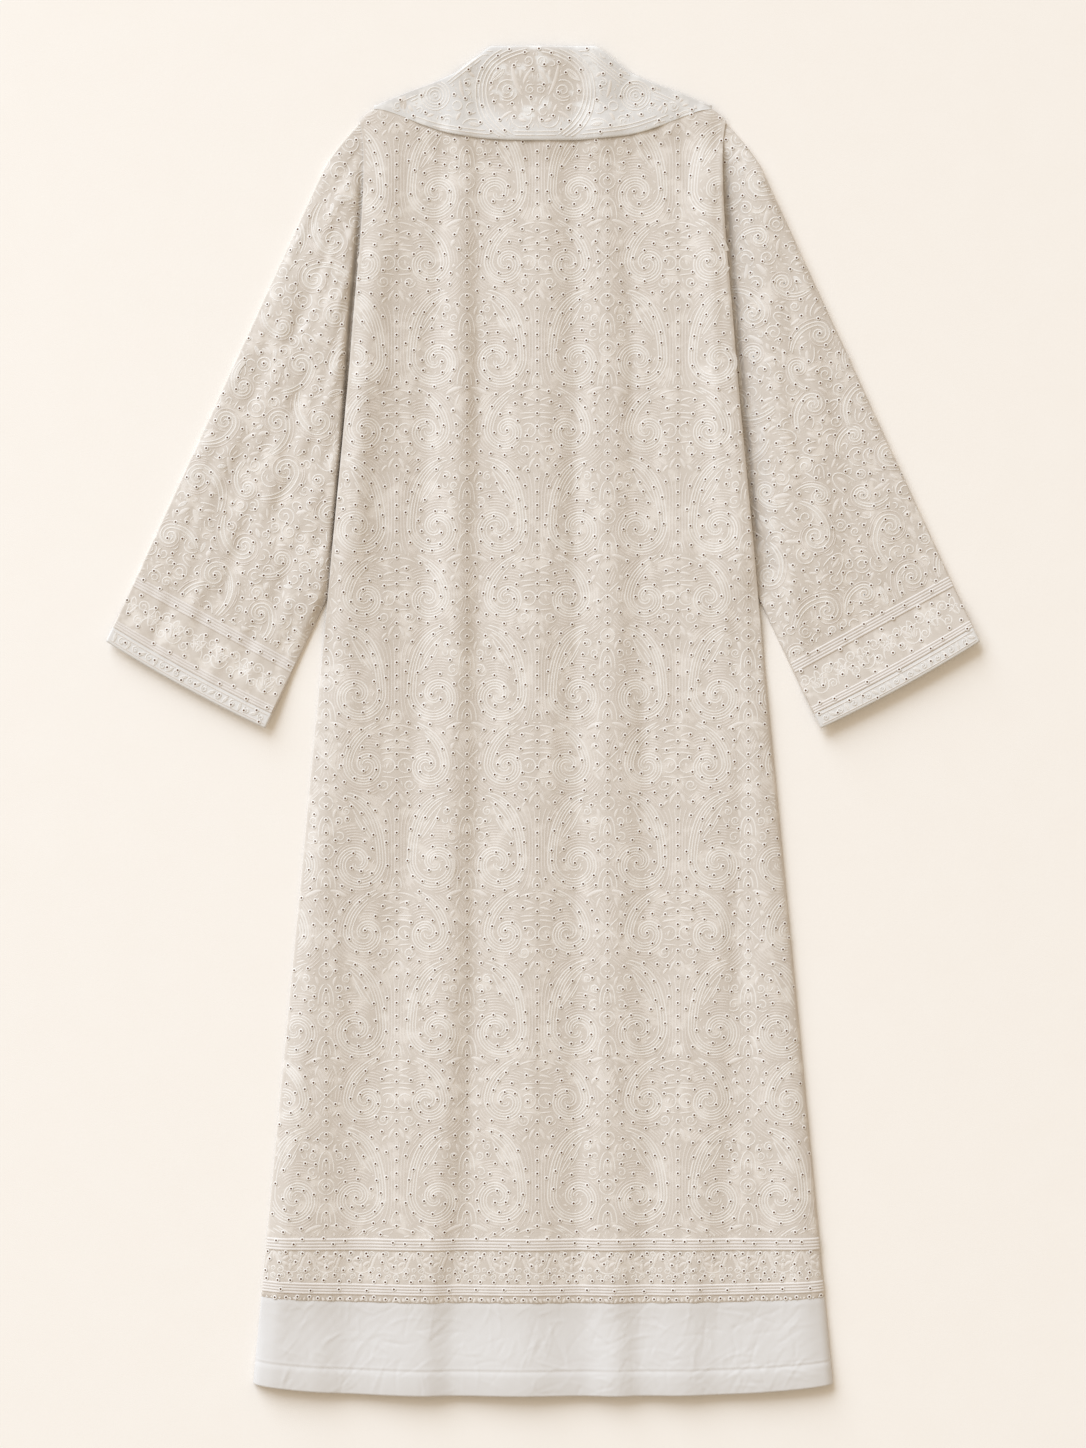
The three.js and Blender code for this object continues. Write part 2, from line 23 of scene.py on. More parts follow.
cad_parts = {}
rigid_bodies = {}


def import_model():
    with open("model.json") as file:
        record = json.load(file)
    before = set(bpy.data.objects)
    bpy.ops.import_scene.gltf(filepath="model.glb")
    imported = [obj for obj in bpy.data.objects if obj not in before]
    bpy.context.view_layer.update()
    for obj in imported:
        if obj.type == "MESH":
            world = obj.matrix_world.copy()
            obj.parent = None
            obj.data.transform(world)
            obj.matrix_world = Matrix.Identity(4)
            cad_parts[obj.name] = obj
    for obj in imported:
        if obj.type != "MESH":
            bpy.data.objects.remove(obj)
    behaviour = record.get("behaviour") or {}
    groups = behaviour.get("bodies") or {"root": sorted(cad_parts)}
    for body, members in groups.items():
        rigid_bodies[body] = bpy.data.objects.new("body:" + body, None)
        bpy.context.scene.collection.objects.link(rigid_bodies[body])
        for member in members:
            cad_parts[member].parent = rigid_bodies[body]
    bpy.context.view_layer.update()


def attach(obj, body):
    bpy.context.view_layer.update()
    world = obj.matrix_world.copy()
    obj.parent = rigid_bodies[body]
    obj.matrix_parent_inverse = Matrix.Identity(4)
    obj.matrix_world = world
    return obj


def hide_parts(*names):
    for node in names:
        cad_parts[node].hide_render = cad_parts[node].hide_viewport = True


LOG = logging.getLogger("kaftan")
MM = 0.001
Array = np.ndarray
Arrays = tuple[Array, Array]
Test = Callable[[Array, Array], Array]  # says something of places by their across and drop
Pair = tuple[float, float]
Three = tuple[float, float, float]
Four = tuple[float, float, float, float]
Row = tuple[float, ...]
Piece = bpy.types.Object
Socket = bpy.types.NodeSocket


class Side(IntEnum):
    """Side of the kaftan as it lies, with the sign of its across."""

    LEFT = -1
    RIGHT = 1


# ---- Curves and tables ----------------------------------------------------------------------
def ease(start: float, end: float, value: Array) -> Array:
    """Smooth step from 0 at start to 1 at end.

    Args:
        start: Value where the step begins.
        end: Value where it is complete.
        value: Where to read it.

    Returns:
        The step, from 0 to 1.
    """
    share = np.clip((np.asarray(value, float) - start) / (end - start), 0, 1)
    return share * share * (3.0 - 2.0 * share)


def smooth_table(places: Sequence[float], values: Sequence[float], at: Array) -> Array:
    """Value of a short table on a smooth curve through its rows.

    Args:
        places: Rising positions of the rows.
        values: Value of each row.
        at: Where to read the curve.

    Returns:
        The curve's values, held at the end rows outside the table.
    """
    x = np.asarray(places, float)
    y = np.asarray(values, float)
    before = np.r_[0, np.arange(len(x) - 1)]
    after = np.r_[np.arange(1, len(x)), len(x) - 1]
    slope = (y[after] - y[before]) / (x[after] - x[before])
    at = np.clip(np.asarray(at, float), x[0], x[-1])
    row = np.clip(np.searchsorted(x, at, side="right") - 1, 0, len(x) - 2)
    step = x[row + 1] - x[row]
    t = (at - x[row]) / step
    return (
        y[row] * (1 + 2 * t) * (1 - t) ** 2
        + y[row + 1] * t * t * (3 - 2 * t)
        + step * (slope[row] * t * (1 - t) ** 2 - slope[row + 1] * t * t * (1 - t))
    )


def even_path(path: Array, step: float) -> Array:
    """The same path with points at even distances.

    Args:
        path: Points of the path, one a row.
        step: Wanted distance between points.

    Returns:
        The resampled points, at least three of them.
    """
    length = np.r_[0.0, np.cumsum(np.hypot(*np.diff(path, axis=0).T))]
    count = max(3, int(round(length[-1] / step)) + 1)
    at = np.linspace(0, length[-1], count)
    return np.column_stack([np.interp(at, length, path[:, k]) for k in range(2)])


def bezier(start: Pair, corner: Pair, end: Pair, count: int = 16) -> Array:
    """Points of a quadratic curve from start to end, pulled towards corner."""
    t = np.linspace(0, 1, count)[:, None]
    return (1 - t) ** 2 * start + 2 * t * (1 - t) * corner + t**2 * end


def circle(angle: Array) -> Array:
    """Points of the unit circle at angles."""
    return np.column_stack([np.cos(angle), np.sin(angle)])


def turned(path: Array, degrees: float) -> Array:
    """A path turned about the origin."""
    turn = math.radians(degrees)
    return path @ [[math.cos(turn), math.sin(turn)], [-math.sin(turn), math.cos(turn)]]


# ---- The cut of the garment -----------------------------------------------------------------
@dataclass(frozen=True)
class Cut:
    """Sizes of the kaftan's pieces as they are cut and sewn, in millimetres."""

    length: float = 1400
    cloth: float = 1.2
    seam_gap: float = 0.4
    lay_gap: float = 0.4
    neck_fold_half: float = 55
    neck_base_half: float = 91
    neck_base_drop: float = 28
    neck_back_dip: float = 12
    neck_front_depth: float = 160
    shoulder_half: float = 191
    shoulder_drop: float = 71
    shoulder_turn: float = 5.5
    shoulder_turn_reach: Pair = (168, 23)
    armpit_half: float = 202
    armpit_drop: float = 350
    hem_half: float = 301
    hem_corner_drop: float = 1388
    hem_turn_up: float = 26
    turn_up_cloth: float = 0.45
    border_drop: float = 1305
    border_rise: float = 7
    level_from: float = 240
    seam_top_across: float = 175
    seam_bottom_across: float = 190
    seam_bottom_drop: float = 358
    collar_tip: float = 175
    armhole_drops: Row = (71, 100, 146, 207, 268, 350)
    armhole_halves: Row = (191, 187, 186.5, 190, 195.5, 202)
    collar_edge_across: Row = (0, 40, 79, 102, 125, 147, 165, 175)
    collar_edge_drops: Row = (98, 97, 93.5, 89, 81.5, 72.5, 66.5, 65.5)

    def floor(self, across: Array, drop: Array) -> Array:
        """X and Y in metres of places, one a row."""
        return np.column_stack([np.ravel(across), self.length / 2 - np.ravel(drop)]) * MM

    def inside(self, across: Array, drop: Array) -> Array:
        """How far places are inside the body's side edge, negative outside it."""
        return self.half_width(drop) - np.abs(across)

    def half_width(self, drop: Array) -> Array:
        """Half the width of the body: armhole edge above, straight side seam below."""
        drop = np.asarray(drop, float)
        share = (drop - self.armpit_drop) / (self.hem_corner_drop - self.armpit_drop)
        side = self.armpit_half + (self.hem_half - self.armpit_half) * share
        arm = smooth_table(self.armhole_drops, self.armhole_halves, drop)
        return np.where(drop < self.armpit_drop, arm, side)

    def shoulder_line(self, across: Array) -> Array:
        """Drop of the shoulder line, which turns down softly at the shoulder point."""
        run = self.shoulder_half - self.neck_base_half
        fall = self.shoulder_drop - self.neck_base_drop
        a = np.abs(across)
        turn_from, turn_run = self.shoulder_turn_reach
        turn = self.shoulder_turn * np.clip((a - turn_from) / turn_run, 0, None) ** 2
        return self.neck_base_drop + (a - self.neck_base_half) * fall / run + turn

    def top_line(self, across: Array, neck_depth: float) -> Array:
        """Drop of a body panel's top edge: its neck seam, then the shoulder line."""
        share = np.clip(np.abs(across) / self.neck_base_half, 0, 1)
        neck = self.neck_base_drop + neck_depth * np.cos(math.pi / 2 * share)
        return np.where(share >= 1, self.shoulder_line(across), neck)

    def seam_across(self, drop: Array) -> Array:
        """Across of the straight armhole seam, which runs under the edge of the back."""
        share = (np.asarray(drop, float) - self.shoulder_drop) / (
            self.seam_bottom_drop - self.shoulder_drop
        )
        return self.seam_top_across + (self.seam_bottom_across - self.seam_top_across) * share

    def hem_line(self, across: Array) -> Array:
        """Drop of the hem, which bends up towards the side seams."""
        rise = self.length - self.hem_corner_drop
        return self.length - rise * np.abs(np.asarray(across, float) / self.hem_half) ** 4

    def collar_top(self, across: Array) -> Array:
        """Drop of the collar's top outline: fold, slope beside the neck, shoulder line."""
        a = np.abs(across)
        share = (a - self.neck_fold_half) / (self.neck_base_half - self.neck_fold_half)
        slope = self.neck_base_drop * np.clip(share, 0, 1)
        return np.where(a > self.neck_base_half, self.shoulder_line(a), slope)

    def collar_bottom(self, across: Array) -> Array:
        """Drop of the collar's lower edge."""
        return smooth_table(self.collar_edge_across, self.collar_edge_drops, np.abs(across))


@dataclass(frozen=True)
class SleeveCut:
    """Outline of one sleeve as it lies, folded at the overarm and the underarm."""

    cut: Cut
    cuff_outer: Pair = (453.4, 617.8)
    cuff_inner: Pair = (288, 708.2)
    facing: float = 16
    overarm_corner: float = 204.5
    overarm_through: Pair = (218.4, 107)
    overarm_curve_end: float = 123
    underarm_corner: Pair = (188, 497)
    underarm_shows: Pair = (223.6, 572)
    parallel: float = 80
    cuff_bow: float = 3
    bow_reach: float = 60

    def overarm(self) -> Array:
        """Points of the overarm fold, from the shoulder to the cuff."""
        cut = self.cut
        start = (cut.seam_top_across, float(cut.shoulder_line(cut.seam_top_across)))
        corner = (self.overarm_corner, float(cut.shoulder_line(self.overarm_corner)))
        through, outer = np.array(self.overarm_through), np.array(self.cuff_outer)
        share = (self.overarm_curve_end - through[1]) / (outer[1] - through[1])
        end = through + (outer - through) * share
        return np.vstack([bezier(start, corner, end, 60), outer])

    def underarm(self) -> Array:
        """Points of the underarm fold, from the armhole to the cuff."""
        start = (self.cut.seam_bottom_across, self.cut.seam_bottom_drop)
        curve = bezier(start, self.underarm_corner, self.underarm_shows, 60)
        return np.vstack([curve, self.cuff_inner])

    @staticmethod
    def length_of(path: Array) -> float:
        """Length of a path."""
        return float(np.hypot(*np.diff(path, axis=0).T).sum())

    def place(self, above: Array, t: Array) -> Arrays:
        """Across and drop of points of the right sleeve.

        Args:
            above: Distance above the cuff, measured up the overarm fold.
            t: Share of the way from the overarm fold to the underarm fold.

        Returns:
            Across and drop of each point.
        """
        over, under = self.overarm(), self.underarm()
        over_length, under_length = self.length_of(over), self.length_of(under)
        share = (above - self.parallel) / (over_length - self.parallel)
        above_under = np.where(
            above < self.parallel, above, self.parallel + (under_length - self.parallel) * share
        )
        a = self.walk(over, over_length - above)
        b = self.walk(under, under_length - above_under)
        along, out = self.cuff_direction(), self.bow(above, t)
        across = a[0] + (b[0] - a[0]) * t + along[1] * out
        return across, a[1] + (b[1] - a[1]) * t - along[0] * out

    def cuff_direction(self) -> Array:
        """Unit across and drop along the cuff, from its outer to its inner corner."""
        line = np.array(self.cuff_inner) - np.array(self.cuff_outer)
        return line / np.hypot(*line)

    def bow(self, above: Array, t: Array) -> Array:
        """How far the cuff's cloth bows out past the straight line between its corners."""
        swell = np.clip(1 - (2 * t - 1) ** 2, 0, 1)
        return self.cuff_bow * swell * (1 - ease(0, self.bow_reach, above))

    @staticmethod
    def walk(path: Array, distance: Array) -> Arrays:
        """Across and drop of the points at distances along a path."""
        length = np.r_[0.0, np.cumsum(np.hypot(*np.diff(path, axis=0).T))]
        return np.interp(distance, length, path[:, 0]), np.interp(distance, length, path[:, 1])


# ---- How the cloth lies ---------------------------------------------------------------------
@dataclass(frozen=True)
class Fold:
    """A crest or hollow that runs down the body, with its across at each level."""

    height: float
    across: tuple[float, float, float, float, float]


@dataclass(frozen=True)
class Crease:
    """A fine wave of the cloth, long down the body and short across it."""

    height: float
    across: float
    down: float
    start: float


@dataclass(frozen=True)
class Lie:
    """Heights of the laid cloth over the surface under it, in millimetres."""

    cut: Cut
    levels: Row = (165, 370, 780, 1190, 1340)
    folds: tuple[Fold, ...] = (
        Fold(3.6, (-159, -179, -206, -237, -240)),
        Fold(0, (-107, -117, -136, -190, -201)),
        Fold(4.6, (-88, -88, -94, -109, -125)),
        Fold(0, (-67, -66, -68, -78, -93)),
        Fold(4.2, (2, 2, -7, -14, -20)),
        Fold(0.2, (33, 33, 35, 36, 42)),
        Fold(4, (63, 69, 73, 70, 76)),
        Fold(0.2, (86, 95, 107, 110, 102)),
        Fold(3.2, (172, 178, 186, 160, 148)),
        Fold(1, (182, 190, 205, 190, 182)),
        Fold(2, (188, 197, 222, 228, 232)),
    )
    creases: tuple[Crease, ...] = (
        Crease(0.34, 41, 520, 0.4),
        Crease(0.26, 27, 310, 2.1),
        Crease(0.20, 63, 230, 4),
        Crease(0.15, 18, 190, 1.2),
    )
    hollow_sharpness: float = 0.72
    body_depth: float = 1.28
    fade_least: float = 0.45
    hem_calm: float = 0.2
    side_flat: float = 22
    sleeve_flat: float = 3
    roll_crown: float = 8
    roll_width: float = 40
    puff_height: float = 4.8
    lit_side_puff: float = 0.5
    puff_turn: float = 9
    hem_puff: float = 7.6
    hem_crown: float = 3
    hem_width: float = 92
    puff_crown: float = 16
    puff_width: float = 64
    front_puff: float = 0.3
    ridge_height: float = 2.4
    valley_dip: float = 2.2
    left_least: float = 0.3
    sleeve_fold_out: Row = (-8, 0.4, 3, 7, 12, 20, 36, 54, 72, 98, 136, 186)
    left_fold_share: Row = (1, 1, 1, 1, 1, 0.92, 0.7, 0.42, 0.52, 0.2, 0.34, 0.06)
    right_fold_height: Row = (0, 0, 0.1, 0.5, 1.2, 2.6, 4.4, 3.6, 4.4, 1.8, 2.6, 0.6)
    # Sizes on the left and on the right side.
    roll_height: Pair = (4.8, 8)
    roll_lip: Pair = (0.9, 0.86)
    roll_turn: Pair = (1.4, 2.4)
    dip_rise: Pair = (3.4, 5)
    # Reach above and below the collar's edge.
    ridge_reach: Pair = (42, 27)
    # Sizes at the upper and at the lower end of the sleeve's valley.
    valley_wide: Pair = (7.5, 4)
    slope_from: Pair = (3.4, 0.5)
    slope_reach: Pair = (3.2, 2.4)
    slope_height: Pair = (8.4, 6.2)
    # Where a change begins and where it is complete.
    hollow_softens: Pair = (1240, 1330)
    fades: Pair = (70, 330)
    hem_calms: Pair = (1230, 1330)
    lift_reach: Pair = (22, 50)
    lift_ends: Pair = (585, 650)
    puff_drops: Pair = (590, 690)
    ridge_fades: Pair = (115, 165)
    valley_drops: Pair = (290, 430)
    left_fades: Pair = (110, 290)
    over_sleeve_starts: Pair = (-22, -2)
    valley_edge: Pair = (-14, -4)
    sleeve_folds_drops: Pair = (75, 150)
    sleeve_folds_above: Pair = (20, 190)
    # Where a form begins, is full, begins to fade and is gone, down the body.
    roll_drops: Four = (92, 150, 520, 590)
    dip_drops: Four = (95, 150, 480, 545)

    def body_folds(self, across: Array, drop: Array) -> Array:
        """Height of the body's soft folds, 0 in the deepest hollows."""
        places = [smooth_table(self.levels, fold.across, drop) for fold in self.folds]
        height = np.where(across <= places[0], self.folds[0].height, self.folds[-1].height)
        soft = ease(*self.hollow_softens, drop)
        sharp = self.hollow_sharpness + (1 - self.hollow_sharpness) * soft
        for left, right, a, b in zip(self.folds, self.folds[1:], places, places[1:]):
            share = np.clip((across - a) / (b - a), 0, 1)
            share = share * share * (3 - 2 * share)
            if right.height > left.height:
                share = share**sharp
            else:
                share = 1 - (1 - share) ** sharp
            between = (across > a) & (across <= b)
            height = np.where(between, left.height + (right.height - left.height) * share, height)
        growth = self.fade_least + (1 - self.fade_least) * ease(*self.fades, drop)
        inside = self.cut.inside(across, drop)
        growth = growth * (1 - self.hem_calm * ease(*self.hem_calms, drop))
        return self.body_depth * height * growth * ease(0, self.side_flat, inside)

    def fine_waves(self, across: Array, drop: Array) -> Array:
        """Height of the fine creases, above and below the folds."""
        total = np.zeros(np.broadcast(across, drop).shape)
        for wave in self.creases:
            bend = 0.8 * np.sin(drop / wave.down * 2.3 + wave.start)
            phase = across / wave.across + bend + wave.start
            share = 0.6 + 0.4 * np.sin(2 * math.pi * drop / wave.down + 3 * wave.start)
            total = total + wave.height * np.sin(2 * math.pi * phase) * share
        return total

    def over_sleeve(self, across: Array, drop: Array, start_drop: float) -> Array:
        """How far a sleeve lifts the panel over it: 1 over the sleeve, 0 well inside.

        Args:
            across: Across of the places.
            drop: Their drop.
            start_drop: Drop at which the sleeve begins under the panel.

        Returns:
            The share of the full lift at each place.
        """
        inside = self.cut.inside(across, drop)
        across_share = 1 - ease(*self.lift_reach, inside)
        along = ease(*self.over_sleeve_starts, drop - start_drop)
        return across_share * along * (1 - ease(*self.lift_ends, drop))

    def edge_roll(self, across: Array, drop: Array) -> Array:
        """Height of the back panel's rolled edge beside a sleeve."""
        a, b, c, d = self.roll_drops
        inside = self.cut.inside(across, drop)
        along = ease(a, b, drop) * (1 - ease(c, d, drop))
        along = along * (1 - ease(self.roll_crown, self.roll_width, inside))
        left, right = (
            height * (lip + (1 - lip) * ease(0, turn, inside))
            for height, lip, turn in zip(self.roll_height, self.roll_lip, self.roll_turn)
        )
        return along * np.where(np.asarray(across) < 0, left * self.left_growth(drop), right)

    def edge_puff(self, across: Array, drop: Array) -> Array:
        """Height of the air held by the side seams and the hem, below the sleeves."""
        cut = self.cut
        inside = cut.inside(across, drop)
        above_hem = cut.hem_line(across) - drop
        side = 1 - ease(self.puff_crown, self.puff_width, inside)
        side = side * np.where(np.asarray(across) < 0, self.lit_side_puff, 1)
        hem = 1 - ease(self.hem_crown, self.hem_width, above_hem)
        turned = np.sqrt(1 - (1 - np.clip(inside / self.puff_turn, 0, 1)) ** 2)
        height = self.hem_puff * hem + self.puff_height * side * (1 - hem)
        return height * turned * ease(*self.puff_drops, drop)

    def collar_ridge(self, across: Array, drop: Array) -> Array:
        """Height of the soft ridge that the collar's edge makes in the back panel."""
        below = drop - self.cut.collar_bottom(across)
        rise, fall = self.ridge_reach
        along = 1 - ease(*self.ridge_fades, np.abs(across))
        return self.ridge_height * along * ease(-rise, -4, below) * (1 - ease(0, fall, below))

    def back_top(self, across: Array, drop: Array) -> Array:
        """Height of the back panel's upper face."""
        cut = self.cut
        base = cut.cloth + cut.lay_gap
        lift = self.over_sleeve(across, drop, cut.shoulder_drop) * (self.sleeve_flat + cut.lay_gap - base)
        lower = self.over_sleeve(across, drop, cut.armpit_drop) * base
        raised = self.edge_roll(across, drop) + self.edge_puff(across, drop)
        raised = raised + self.collar_ridge(across, drop)
        return base + self.body_folds(across, drop) + lift + lower + raised + cut.cloth

    def front_top(self, across: Array, drop: Array) -> Array:
        """Height of the front panel's upper face, which is hidden by the back."""
        cut = self.cut
        folds = np.maximum(0.0, self.body_folds(across, drop) - 1.6) * 0.6
        below = ease(cut.armpit_drop, cut.armpit_drop + 40, drop)
        roll = self.edge_roll(across, drop) * 0.4 * below
        lift = self.over_sleeve(across, drop, cut.armpit_drop) * (self.sleeve_flat + cut.lay_gap)
        return folds + lift + roll + self.front_puff * self.edge_puff(across, drop) + cut.cloth

    def left_growth(self, drop: Array) -> Array:
        """Share of the left valley's depth that is reached at a drop."""
        return self.left_least + (1 - self.left_least) * ease(*self.left_fades, drop)

    def down_valley(self, values: Pair, drop: Array) -> Array:
        """A size that runs from its upper to its lower value down the sleeve's valley."""
        upper, lower = values
        return upper + (lower - upper) * ease(*self.valley_drops, drop)

    def valley_sink(self, across: Array, drop: Array, side: Side) -> Array:
        """How far a sleeve's upper face sinks beside the body's edge.

        Args:
            across: Across of the places, as on the right sleeve.
            drop: Their drop.
            side: Which sleeve.

        Returns:
            The depth at each place, in millimetres.
        """
        out = -self.cut.inside(across, drop)
        a, b, c, d = self.dip_drops
        along = ease(a, b, drop) * (1 - ease(c, d, drop))
        floor = self.valley_wide[1] if side > 0 else self.down_valley(self.slope_from, drop)
        gone = 1 - ease(0, self.dip_rise[side > 0], out - floor)
        gone = gone * (1.0 if side > 0 else self.left_growth(drop))
        return self.valley_dip * gone * along * ease(*self.valley_edge, out)

    def sleeve_folds(self, across: Array, drop: Array, above: Array, side: Side) -> Array:
        """Height of a sleeve's folds, 0 where the body lies on it.

        Args:
            across: Across of the places, as on the right sleeve.
            drop: Their drop.
            above: Their distance above the cuff.
            side: Which sleeve.

        Returns:
            The height at each place, in millimetres.
        """
        out = -self.cut.inside(across, drop)
        if side < 0:
            sizes = (self.slope_from, self.slope_reach, self.slope_height)
            start, reach, high = (self.down_valley(size, drop) for size in sizes)
            slope = high * (1 - np.exp(-np.maximum(out - start, 0.0) / reach))
            slope = slope * self.left_growth(drop)
            height = slope * smooth_table(self.sleeve_fold_out, self.left_fold_share, out)
        else:
            flat = self.down_valley(self.valley_wide, drop)
            out = np.where(out > 0, np.maximum(out - flat, 0), out)
            height = smooth_table(self.sleeve_fold_out, self.right_fold_height, out)
        return height * ease(*self.sleeve_folds_drops, drop) * ease(*self.sleeve_folds_above, above)


# ---- Meshes ---------------------------------------------------------------------------------
def mesh_object(name: str, points: Array, faces: Array, smooth: bool = True) -> Piece:
    """A mesh object from arrays.

    Args:
        name: Name of the piece.
        points: Vertices in metres, one a row.
        faces: Vertex numbers of each face, all of one length.
        smooth: Whether its faces shade smoothly.

    Returns:
        The new object, linked to the scene.
    """
    mesh = bpy.data.meshes.new(name)
    points = np.ascontiguousarray(points.reshape(-1, 3), dtype=np.float32)
    faces = np.ascontiguousarray(faces, dtype=np.int32)
    sides = faces.shape[1]
    mesh.vertices.add(len(points))
    mesh.vertices.foreach_set("co", points.ravel())
    mesh.loops.add(faces.size)
    mesh.loops.foreach_set("vertex_index", faces.ravel())
    mesh.polygons.add(len(faces))
    mesh.polygons.foreach_set("loop_start", np.arange(0, faces.size, sides, dtype=np.int32))
    mesh.update(calc_edges=True)
    mesh.polygons.foreach_set("use_smooth", np.full(len(faces), smooth))
    mesh.validate()
    piece = bpy.data.objects.new(name, mesh)
    bpy.context.scene.collection.objects.link(piece)
    return piece


def grid_faces(rows: int, columns: int, closed: bool = False) -> Array:
    """Quads of a grid of points, facing up where rows run down and columns run right.

    Args:
        rows: Number of rows of points.
        columns: Number of columns of points.
        closed: Whether the last column joins the first.

    Returns:
        Vertex numbers, four to a face.
    """
    wide = columns if closed else columns - 1
    row, column = np.meshgrid(np.arange(rows - 1), np.arange(wide), indexing="ij")
    after = (column + 1) % columns
    corners = [(row + 1, column), (row + 1, after), (row, after), (row, column)]
    return np.stack([r * columns + c for r, c in corners], axis=-1).reshape(-1, 4)


def turned_rim(points: Array, cloth: float) -> Array:
    """A grid of points with its rim turned down by the cloth's thickness.

    Args:
        points: Grid of points in millimetres, rows running down, columns running right.
        cloth: Thickness of the cloth.

    Returns:
        The grid with two more points all round.
    """
    for out, down in ((0.25, 0.35), (0.0, 0.6)):
        step = np.array([out, 0.0, -down]) * cloth
        left = points[:, :1] + step * (-1, 1, 1)
        points = np.concatenate([left, points, points[:, -1:] + step], axis=1)
        step = np.tile([0.0, out, -down], (1, points.shape[1], 1)) * cloth
        step[:, [0, -1], 2] = 0.0
        top = points[:1] + step
        points = np.concatenate([top, points, points[-1:] + step * (1, -1, 1)], axis=0)
    return points


class Cloth:
    """A sheet of cloth that other pieces can be laid and sewn on."""

    look_from = 0.2  # metres above the table

    def __init__(self, name: str, points: Array, faces: Array) -> None:
        """Builds the sheet.

        Args:
            name: Name of the piece.
            points: Its points in metres.
            faces: Its quads.
        """
        self.piece = mesh_object(name, points, faces)
        self.sewn_on: list[Piece] = []
        self.tree = BVHTree.FromPolygons(points.reshape(-1, 3).tolist(), faces.tolist())

    def face_at(self, places: Array) -> tuple[Array, Array, Array]:
        """Upper face of the cloth over places on the floor.

        Args:
            places: X and Y in metres, one place a row.

        Returns:
            Points on the cloth, its normals, and whether there is cloth at each place.
        """
        down = Vector((0.0, 0.0, -1.0))
        points = np.zeros((len(places), 3))
        normals = np.tile([0.0, 0.0, 1.0], (len(places), 1))
        found = np.zeros(len(places), bool)
        for k, (x, y) in enumerate(places.tolist()):
            hit, normal, _, _ = self.tree.ray_cast(Vector((x, y, self.look_from)), down)
            if hit is None:
                continue
            points[k] = hit
            normals[k] = normal if normal.z > 0 else -normal
            found[k] = True
        return points, normals, found


# ---- Stitching ------------------------------------------------------------------------------
class Stitch(Enum):
    """Kinds of stitching, with the word that names their pieces."""

    BAND = "bands"
    FINE = "fine_cords"
    CORD = "cords"
    SATIN = "petals"


@dataclass(frozen=True)
class Thread:
    """A couched cord or a satin-stitched petal along a path of across and drop."""

    path: Array
    width: float = 1.9
    height: float = 0.5
    stitch: Stitch = Stitch.CORD

    def moved(self, across: float, drop: float, flip: bool = False) -> Thread:
        """This thread moved, and first mirrored about the centre line if flip is true."""
        path = self.path * ((-1, 1) if flip else (1, 1)) + (across, drop)
        return replace(self, path=path)

    def turned(self, degrees: float, size: float = 1) -> Thread:
        """This thread turned about its origin, and made larger or smaller."""
        return replace(self, path=turned(self.path, degrees) * size)


